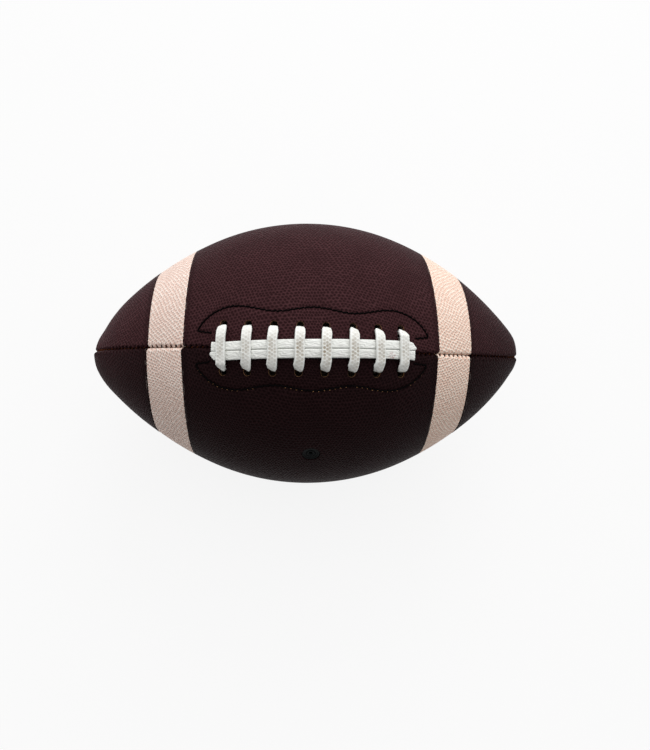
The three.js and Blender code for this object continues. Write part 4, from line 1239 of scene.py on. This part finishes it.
def refine(samples):
    """Adds samples, close together where the lace shows and further apart inside the ball."""
    fine = []
    for here, there in zip(samples[:-1], samples[1:]):
        step = LACE_STEP if max(here[2], there[2]) > -1 else HIDDEN_LACE_STEP
        parts = max(1, math.ceil(np.linalg.norm((there - here)[PLACE]) / step))
        fine += [here + (there - here) * k / parts for k in range(parts)]
    return np.array([*fine, samples[-1]])


def smoothed(rows, rounds):
    """Rows drawn towards the mean of their neighbours."""
    for _ in range(rounds):
        rows = np.concatenate([rows[:1], (rows[:-2] + 2 * rows[1:-1] + rows[2:]) / 4, rows[-1:]])
    return rows


def lace_outline():
    """The lace's section as shares of its half width and half thickness, its outer face first."""
    top = np.linspace(LACE_FLAT, -LACE_FLAT, 17)
    turn = np.radians(np.linspace(-90, 90, 8))[1:-1]
    low = 1 - LACE_CROWN
    side = np.stack([LACE_FLAT + (1 - LACE_FLAT) * np.cos(turn), low * np.sin(turn)], -1)
    bottom = np.linspace(-LACE_FLAT, LACE_FLAT, 5)
    return np.concatenate([
        np.stack([top, -1 + LACE_CROWN * (top / LACE_FLAT) ** 2], -1),
        side * [-1, 1],
        np.stack([bottom, np.full(5, low)], -1),
        side[::-1],
    ])


def lace_emboss(reached, across, dots):
    """Depth of the moulded pattern on the lace's outer face, and how much each dot is stained."""
    # Sines with odd factors stand in for chance, so that no two dots are alike.
    dot, stain = 0, 0
    for column in (-1, 0, 1):
        row = reached / DOT_PITCH + 0.5 * column
        cell = np.floor(row)
        along = (row - cell - 0.5 + 0.1 * np.sin(7.7 * cell + column)) * DOT_PITCH
        middle = DOT_MIDDLE + column * DOT_COLUMN + 0.15 * np.sin(12.9 * cell + 4.1 * column)
        share = (1 - smoothstep(np.hypot(along, across - middle), *DOT_RADII)) * dots
        strength = 0.75 + 0.25 * np.sin(5.3 * cell + 2.2 * column) * np.sin(0.37 * cell)
        dot, stain = np.maximum(dot, share), np.maximum(stain, share * strength)
    bends = 0.35 * np.sin(reached / 1.3) + 0.25 * np.sin(reached / 0.71 + 2 * across)
    wave = np.sin(2 * math.pi * (across / RIDGE_PITCH + bends))
    ridges = (1 - dots) * wave * (1 - smoothstep(np.abs(across), *RIDGE_EDGE))
    return DOT_DEPTH * dot - RIDGE_HEIGHT * ridges, stain


def handling(s, t):
    """How much the lace has been handled, most in the middle of the lacing and over the seam."""
    along = STAIN_LEAST + (1 - STAIN_LEAST) * np.exp(-(((s - STAIN_MIDDLE) / STAIN_REACH) ** 2))
    across = STAIN_FAR_LEAST + (1 - STAIN_FAR_LEAST) * np.exp(-((t / STAIN_WIDTH) ** 2))
    return along * across


def lace():
    samples = refine(round_route(lace_stations()))
    s, t, height = samples[:, PLACE].T
    s = settled(s)
    t = t + strand_shift(s, t, height)
    angle = t / skin_radius(s)
    path = place(s, angle, height)
    frame_axes = np.stack(directions(s, angle), 1)
    across = unit((smoothed(samples[:, ACROSS], 6)[..., None] * frame_axes).sum(1))
    through = unit(np.cross(np.gradient(path, axis=0), across))
    outline = lace_outline()
    half = samples[:, SIZE, None] / 2
    x, y = half[:, 0] * outline[:, 0], half[:, 1] * outline[:, 1]
    reached = reached_along(path)[:, None] / MM
    pressed, stain = lace_emboss(reached, x, samples[:, DOTS])
    on_top = outline[:, 1] < -LACE_TOP
    shows = smoothstep(samples[:, WIDTH], BUNCH_WIDTH, LACE_WIDTH - SHOWN_NARROWING)
    y = y + np.where(on_top, pressed * shows, 0)
    rings = path[:, None] + MM * (x[..., None] * across[:, None] + y[..., None] * through[:, None])
    mesh = loft("lace", rings)
    store_values(mesh, "stain", stain * shows * on_top * handling(s, t)[:, None])
    finish_piece(add_object("lace_strip", mesh), "lace", "lace", LACE_VINYL, sharp=60)


# Materials


class Nodes:
    """A node tree. A number, a colour or another node's output can be given as an input."""

    def __init__(self, owner, output):
        owner.use_nodes = True
        self.owner = owner
        self.tree = owner.node_tree
        self.tree.nodes.clear()
        self.output = self.add(output)

    def add(self, kind, inputs=None, **settings):
        node = self.tree.nodes.new(f"ShaderNode{kind}")
        for name, value in settings.items():
            setattr(node, name, value)
        for name, value in (inputs or {}).items():
            self.set(node, name, value)
        return node

    def set(self, node, name, value):
        if isinstance(value, bpy.types.NodeSocket):
            self.tree.links.new(value, node.inputs[name])
        else:
            node.inputs[name].default_value = value

    def maths(self, operation, *values):
        return self.add("Math", dict(enumerate(values)), operation=operation).outputs[0]

    def vector(self, operation, *values, output="Vector"):
        return self.add("VectorMath", dict(enumerate(values)), operation=operation).outputs[output]

    def mix(self, share, first, second):
        return self.add("Mix", {0: share, 6: first, 7: second}, data_type="RGBA").outputs[2]

    def spread(self, value, low, high, to_low=0.0, to_high=1.0):
        """From to_low where the value is low to to_high where it is high."""
        inputs = {"Value": value, "From Min": low, "From Max": high, "To Min": to_low, "To Max": to_high}
        return self.add("MapRange", inputs, interpolation_type="SMOOTHSTEP").outputs[0]

    def noise(self, vector, scale, detail, output="Fac"):
        return self.add("TexNoise", {"Vector": vector, "Scale": scale, "Detail": detail}).outputs[output]

    def seen(self):
        """1 for what the camera sees straight, in a reflection or through glass, and 0 for other light."""
        path = self.add("LightPath").outputs
        straight = self.maths("MAXIMUM", path["Is Camera Ray"], path["Is Glossy Ray"])
        return self.maths("MAXIMUM", straight, path["Is Transmission Ray"])


class Material(Nodes):
    """The node tree of a surface."""

    def __init__(self, name, specular=0.5):
        super().__init__(bpy.data.materials.new(name), "OutputMaterial")
        self.surface = self.add("BsdfPrincipled", {"Specular IOR Level": specular})
        self.set(self.output, "Surface", self.surface.outputs[0])

    def skin(self):
        """The coordinates that lay_out_skin gives, in millimetres."""
        return self.add("UVMap", uv_map="skin").outputs[0]

    def spot(self):
        """Coordinates of the part's frame, in metres."""
        return self.add("TexCoord").outputs["Object"]

    def stored(self, name):
        """The numbers that store_values gives."""
        return self.add("Attribute", attribute_name=name).outputs["Fac"]

    def finish(self, colour, roughness, height=None, distance=0.1):
        """Sets what the surface shows. The height is bumped by the distance, in millimetres."""
        self.set(self.surface, "Base Color", colour)
        self.set(self.surface, "Roughness", roughness)
        if height is not None:
            bump = self.add("Bump", {"Height": height, "Distance": distance * MM, "Strength": 1.0})
            self.set(self.surface, "Normal", bump.outputs[0])
        return self.owner


def rgb(*levels):
    """A colour given as it shows on a screen, from 0 to 255."""
    shares = np.array(levels) / 255
    return (*np.where(shares <= 0.04045, shares / 12.92, ((shares + 0.055) / 1.055) ** 2.4), 1)


def mixed(first, second, share):
    return tuple(a + (b - a) * share for a, b in zip(first, second))


BLACK = (0, 0, 0, 1)
WHITE = (1, 1, 1, 1)
# Pit colours are darker than net colours: partly the grain's own tone, partly painted shade in the pits.
COVER_PIT = rgb(43, 23, 25)
COVER_NET = rgb(71, 43, 46)
GLUE_COLOUR = rgb(150, 138, 132)
# Near-black painted shade for the slots that the stitches pull open in the stripes.
PAINTED_SLOT_SHADE = rgb(14, 8, 8)
RAW_DARK = rgb(84, 54, 29)
RAW_LIGHT = rgb(140, 101, 62)
LACE_WHITE = rgb(243, 244, 240)
LACE_GRIME = rgb(218, 218, 212)
LACE_SPECKLE = rgb(205, 202, 192)
LACE_STAIN = rgb(150, 134, 110)
SMUDGE_COLOUR = rgb(176, 120, 112)
DUST_COLOUR = rgb(60, 58, 56)
FLOOR_COLOUR = rgb(250, 250, 250)

PEBBLE_PITCH = 2.05
PEBBLE_ROW = PEBBLE_PITCH * math.sqrt(3)
PEBBLE_JITTER = 0.16
PEBBLE_EDGE = (0.42, 1.22)  # distances from a pit's middle between which it ends
ROW_BENDS = ((0.022, 14), (0.25, 0.7))  # fineness and reach of what bends the rows of pits
COVER_BUMP = 0.35
COVER_ROUGHNESS = (0.44, 0.62)  # of the net and of the pits
STRIPE_BUMP = 0.3
STRIPE_ROUGHNESS = (0.59, 0.77)
SLOT_EDGE = (0.13, 0.27)  # shares of a stitch's pull between which the painted shade in a slot grows
SMOOTH_BAND = 3.6  # width of the smoother leather beside a stripe
SMOOTH_SHARE = 0.6
GLUE_LINE = 0.9  # from a stripe's edge to the middle of a line of glue
GLUE_WIDTH = 0.3
GLUE_SHARE = 0.45


def pebble_row(nodes, skin, shift):
    """Distance in millimetres to the nearest pit of every second row of pits."""
    scale = (1 / PEBBLE_PITCH, 1 / PEBBLE_ROW, 0)
    cells = nodes.vector("MULTIPLY_ADD", skin, scale, (shift, shift, 0))
    cell = nodes.vector("FLOOR", nodes.vector("ADD", cells, (0.5, 0.5, 0)))
    seed = nodes.vector("ADD", cell, (shift, 7 * shift, 0))
    random = nodes.add("TexWhiteNoise", {"Vector": seed}, noise_dimensions="2D").outputs["Color"]
    moved = nodes.vector("MULTIPLY_ADD", random, (PEBBLE_JITTER,) * 3, (-PEBBLE_JITTER / 2,) * 3)
    apart = nodes.vector("SUBTRACT", nodes.vector("SUBTRACT", cells, cell), moved)
    flat = nodes.vector("MULTIPLY", apart, (PEBBLE_PITCH, PEBBLE_ROW, 0))
    return nodes.vector("LENGTH", flat, output="Value")


def pebbles(nodes, skin):
    """Share of pit and fine noise of leather with pits in bent rows."""
    bent = skin
    for fineness, reach in ROW_BENDS:
        noise = nodes.noise(skin, fineness, 1, "Color")
        bent = nodes.vector("MULTIPLY_ADD", noise, (reach, reach, 0), bent)
    rows = [pebble_row(nodes, bent, shift) for shift in (0.0, 0.5)]
    fine = nodes.noise(skin, 1.6, 3)
    near = nodes.maths("ADD", nodes.maths("MINIMUM", *rows), nodes.maths("MULTIPLY", fine, 0.25))
    return nodes.spread(near, *PEBBLE_EDGE, 1, 0), fine


def pebbled_skin(nodes, skin, pit_colour, net_colour):
    """Colour, share of pit and height of pebbled leather, whose pits take the darker colour, partly as
    painted shade.
    """
    pit, fine = pebbles(nodes, skin)
    patches = nodes.spread(nodes.noise(skin, 0.05, 3), 0.35, 0.7)
    net = nodes.mix(patches, net_colour, mixed(net_colour, pit_colour, 0.3))
    colour = nodes.mix(pit, net, pit_colour)
    colour = nodes.mix(nodes.spread(fine, 0.4, 0.75, 0, 0.2), colour, pit_colour)
    height = nodes.maths("SUBTRACT", nodes.maths("MULTIPLY", fine, 0.25), pit)
    return colour, pit, height


def glue_share(nodes, skin, beside):
    """How much glue shows in a broken line beside a stripe."""
    from_line = nodes.maths("ABSOLUTE", nodes.maths("SUBTRACT", beside, GLUE_LINE))
    line = nodes.spread(from_line, 0.05, GLUE_WIDTH, 1, 0)
    broken = nodes.spread(nodes.noise(skin, 0.16, 4), 0.5, 0.62, 0, GLUE_SHARE)
    return nodes.maths("MULTIPLY", line, broken)


def shaded_cover_leather(panel):
    """Dark leather, smoother beside the stripes, where a pale line of their glue shows here and there.
    Painted shade darkens each panel's whole colour, and painted light and shade change it towards the
    tips.
    """
    nodes = Material(f"cover_leather_{panel['name']}", specular=0.02)
    skin = nodes.skin()
    # The panel's whole colour is scaled towards black here: painted shade.
    pit_colour, net_colour = (mixed(BLACK, colour, panel["painted_shading"]) for colour in (COVER_PIT, COVER_NET))
    colour, pit, height = pebbled_skin(nodes, skin, pit_colour, net_colour)
    along = nodes.add("SeparateXYZ", {0: skin}).outputs[0]
    to_tip = nodes.maths("ABSOLUTE", along)
    from_middle = nodes.maths("ABSOLUTE", nodes.maths("SUBTRACT", to_tip, STRIPE_MIDDLE))
    beside = nodes.maths("SUBTRACT", from_middle, STRIPE_WIDTH / 2)
    smooth = nodes.spread(beside, SMOOTH_BAND - 1, SMOOTH_BAND + 1, SMOOTH_SHARE, 0)
    colour = nodes.mix(smooth, colour, pit_colour)
    colour = nodes.mix(glue_share(nodes, skin, beside), colour, GLUE_COLOUR)
    # Towards the tips the colour is scaled up or down: painted light and painted shade.
    left, right = panel["painted_tip_shading"]
    left_painted_shading = nodes.spread(along, -LINING_END, -STRIPE_INNER, left, 1)
    right_painted_shading = nodes.spread(along, STRIPE_INNER, LINING_END, 1, right)
    painted_shading = nodes.maths("MULTIPLY", left_painted_shading, right_painted_shading)
    colour = nodes.add("VectorMath", {0: colour, 3: painted_shading}, operation="SCALE").outputs[0]
    return nodes.finish(colour, nodes.spread(pit, 0, 1, *COVER_ROUGHNESS), height, COVER_BUMP)


def stripe_leather(name, pit_colour, net_colour):
    """Pale leather, with painted shade in the slots that the stitches pull open."""
    nodes = Material(name, specular=0.2)
    colour, pit, height = pebbled_skin(nodes, nodes.skin(), pit_colour, net_colour)
    colour = nodes.mix(nodes.spread(nodes.stored("slot"), *SLOT_EDGE), colour, PAINTED_SLOT_SHADE)
    return nodes.finish(colour, nodes.spread(pit, 0, 1, *STRIPE_ROUGHNESS), height, STRIPE_BUMP)


def raw_leather():
    nodes = Material("raw_leather")
    fibres = nodes.noise(nodes.spot(), 1800, 4)
    colour = nodes.mix(nodes.spread(fibres, 0.3, 0.7), RAW_DARK, RAW_LIGHT)
    return nodes.finish(colour, 0.9, fibres, 0.15)


def woven(name, light, dark, pitch):
    nodes = Material(name)
    skin = nodes.skin()
    inputs = {"Vector": skin, "Scale": 0.314 / pitch}
    bands = [nodes.add("TexWave", inputs, bands_direction=way).outputs["Fac"] for way in ("X", "Y")]
    cloth = nodes.maths("MULTIPLY", *bands)
    blotched = nodes.maths("MULTIPLY", cloth, nodes.noise(skin, 0.4, 3))
    return nodes.finish(nodes.mix(blotched, dark, light), 0.92, cloth, 0.12)


def vinyl():
    """White, dulled and speckled, with stained dots and one reddish smudge."""
    nodes = Material("lace_vinyl")
    spot = nodes.spot()
    grime = nodes.noise(spot, 260, 3)
    fine = nodes.noise(spot, 1500, 3)
    colour = nodes.mix(nodes.spread(grime, 0.45, 0.8, 0, 0.5), LACE_WHITE, LACE_GRIME)
    colour = nodes.mix(nodes.spread(fine, 0.5, 0.8, 0, 0.35), colour, LACE_SPECKLE)
    colour = nodes.mix(nodes.stored("stain"), colour, LACE_STAIN)
    apart = nodes.vector("DISTANCE", spot, Vector(place(*SMUDGE_AT)), output="Value")
    near = nodes.spread(apart, 0.4 * SMUDGE_SIZE * MM, SMUDGE_SIZE * MM, 0.6, 0)
    smudge = nodes.maths("MULTIPLY", near, nodes.spread(nodes.noise(spot, 900, 2), 0.42, 0.62))
    colour = nodes.mix(smudge, colour, SMUDGE_COLOUR)
    return nodes.finish(colour, nodes.spread(grime, 0.3, 0.8, 0.42, 0.6), fine, 0.05)


def thread_yarn(name, light, dark, roughness):
    nodes = Material(name, specular=0.02)
    strands = nodes.noise(nodes.spot(), 2600, 2)
    colour = nodes.mix(nodes.spread(strands, 0.35, 0.65), dark, light)
    return nodes.finish(colour, roughness, strands, 0.12)


def rubber(name, colour, roughness):
    nodes = Material(name, specular=0.05)
    spot = nodes.spot()
    dust = nodes.noise(spot, 220, 4)
    dusty = nodes.spread(dust, 0.45, 0.8, 0, 0.4)
    colour = nodes.mix(dusty, colour, mixed(colour, DUST_COLOUR, 0.4))
    rough = nodes.spread(dust, 0.3, 0.7, roughness - 0.05, roughness + 0.15)
    return nodes.finish(colour, rough, nodes.noise(spot, 3000, 3), 0.04)


# One copy of the leather for each panel, each with its own painted shade.
LEATHERS = {panel["name"]: shaded_cover_leather(panel) for panel in PANELS}
STRIPE_LEATHERS = {
    -1: stripe_leather("left_stripe_leather", rgb(227, 191, 176), rgb(249, 236, 226)),
    1: stripe_leather("right_stripe_leather", rgb(233, 191, 171), rgb(252, 237, 222)),
}
RAW_LEATHER = raw_leather()
LINING_CLOTH = woven("lining_cloth", rgb(196, 182, 152), rgb(130, 116, 92), 0.9)
FACING_CLOTH = woven("facing_cloth", rgb(120, 98, 72), rgb(62, 48, 34), 0.7)
LACE_VINYL = vinyl()
SEAM_THREAD = thread_yarn("seam_thread", rgb(128, 72, 40), rgb(42, 21, 13), 0.8)
FACING_THREAD = thread_yarn("facing_thread", rgb(14, 11, 12), rgb(5, 4, 5), 0.9)
BLADDER_RUBBER = rubber("bladder_rubber", rgb(30, 30, 31), 0.5)
VALVE_RUBBER = rubber("valve_rubber", rgb(9, 11, 12), 0.5)


# Stage: floor, light and camera


CENTRE = Vector((0, 0, AXIS_HEIGHT * MM))
FLOOR_SIZE = 6.0
FLOOR_GLOW = 0.86  # share of plain white in what the camera sees of the floor
KEY_PLACE = (0.15, 0.88, 0.62)
KEY_SIZE = 0.55
KEY_POWER = 3.2
SKY_TOWARDS = (0.06, 0.92, 0.38)  # where the world is brightest
SKY_EDGE = (-0.05, 0.85)
SKY_DARK = 0.15
SKY_BRIGHT = 1.38
CAMERA_DISTANCE = 472.1  # from the ball's centre
CAMERA_YAW = math.radians(2.07)
CAMERA_ROLL = math.radians(1.36)
CAMERA_SPIN = math.radians(-0.14)
PHOTO_SIZE = (650, 750)
FOCAL_PIXELS = 705.0
CENTRE_PIXEL = (307.27, 353.24)
SENSOR = 36


def floor():
    """A pale plane that keeps the ball's shadow and looks nearly white."""
    half = FLOOR_SIZE / 2
    corners = np.array([[-half, -half, 0], [half, -half, 0], [half, half, 0], [-half, half, 0]])
    plane = add_object("floor", build_mesh("floor", corners, np.array([[0, 1, 2, 3]])))
    nodes = Material("floor_paper")
    plane.data.materials.append(nodes.finish(FLOOR_COLOUR, 0.9))
    glow = nodes.add("Emission", {"Color": WHITE, "Strength": 1.0})
    share = nodes.maths("MULTIPLY", nodes.seen(), FLOOR_GLOW)
    blend = nodes.add("MixShader", {0: share, 1: nodes.surface.outputs[0], 2: glow.outputs[0]})
    nodes.set(nodes.output, "Surface", blend.outputs[0])


def key_light():
    light = bpy.data.lights.new("key_light", "AREA")
    light.shape = "DISK"
    light.size = KEY_SIZE
    light.energy = KEY_POWER
    lamp = add_object("key_light", light)
    lamp.location = KEY_PLACE
    lamp.rotation_euler = (CENTRE - lamp.location).to_track_quat("-Z", "Y").to_euler()


def studio_world():
    """Soft light that is brighter from above and behind the ball. The camera sees it as plain white."""
    nodes = Nodes(bpy.data.worlds.new("studio"), "OutputWorld")
    direction = nodes.add("TexCoord").outputs["Generated"]
    towards = nodes.vector("DOT_PRODUCT", direction, SKY_TOWARDS, output="Value")
    light = nodes.spread(towards, *SKY_EDGE, SKY_DARK, SKY_BRIGHT)
    strength = nodes.add("Mix", {0: nodes.seen(), 2: light, 3: 1.0}, data_type="FLOAT").outputs[0]
    background = nodes.add("Background", {"Color": WHITE, "Strength": strength})
    nodes.set(nodes.output, "Surface", background.outputs[0])
    bpy.context.scene.world = nodes.owner


def camera():
    """The camera that took the photograph, over the laces."""
    data = bpy.data.cameras.new("photo_camera")
    longest = max(PHOTO_SIZE)
    data.sensor_width = SENSOR
    data.lens = FOCAL_PIXELS * SENSOR / longest
    data.shift_x = (PHOTO_SIZE[0] / 2 - CENTRE_PIXEL[0]) / longest
    data.shift_y = (CENTRE_PIXEL[1] - PHOTO_SIZE[1] / 2) / longest
    data.clip_start = 0.01
    view = Matrix.Rotation(CAMERA_SPIN, 3, "Z")
    view = view @ Matrix.Rotation(CAMERA_YAW, 3, "Y") @ Matrix.Rotation(-CAMERA_ROLL, 3, "X")
    turn = view.transposed()
    stand = CENTRE + turn @ Vector((0, 0, CAMERA_DISTANCE * MM))
    seer = add_object("photo_camera", data)
    seer.matrix_world = Matrix.Translation(stand) @ turn.to_4x4()
    bpy.context.scene.camera = seer


def pieces():
    for panel in PANELS:
        cover_panel(panel)
        lining(panel)
        for end in (-1, 1):
            stripe(panel, end)
        if panel["side"] != 0:
            lace_facing(panel)
    tongue()
    bladder()
    valve_housing()
    valve_plug()
    for seam, where in ((1, "rear"), (2, "base"), (3, "front")):
        seam_thread(where, seam, -THREAD_END, THREAD_END)
    seam_thread("lace_left", 0, -THREAD_END, -LACE_THREAD_START)
    seam_thread("lace_right", 0, LACE_THREAD_START, THREAD_END)
    for side in SIDE_NAMES:
        facing_thread(side)
    lace()


camera()
key_light()
studio_world()
floor()
pieces()

bpy.context.scene.view_settings.view_transform = "Standard"
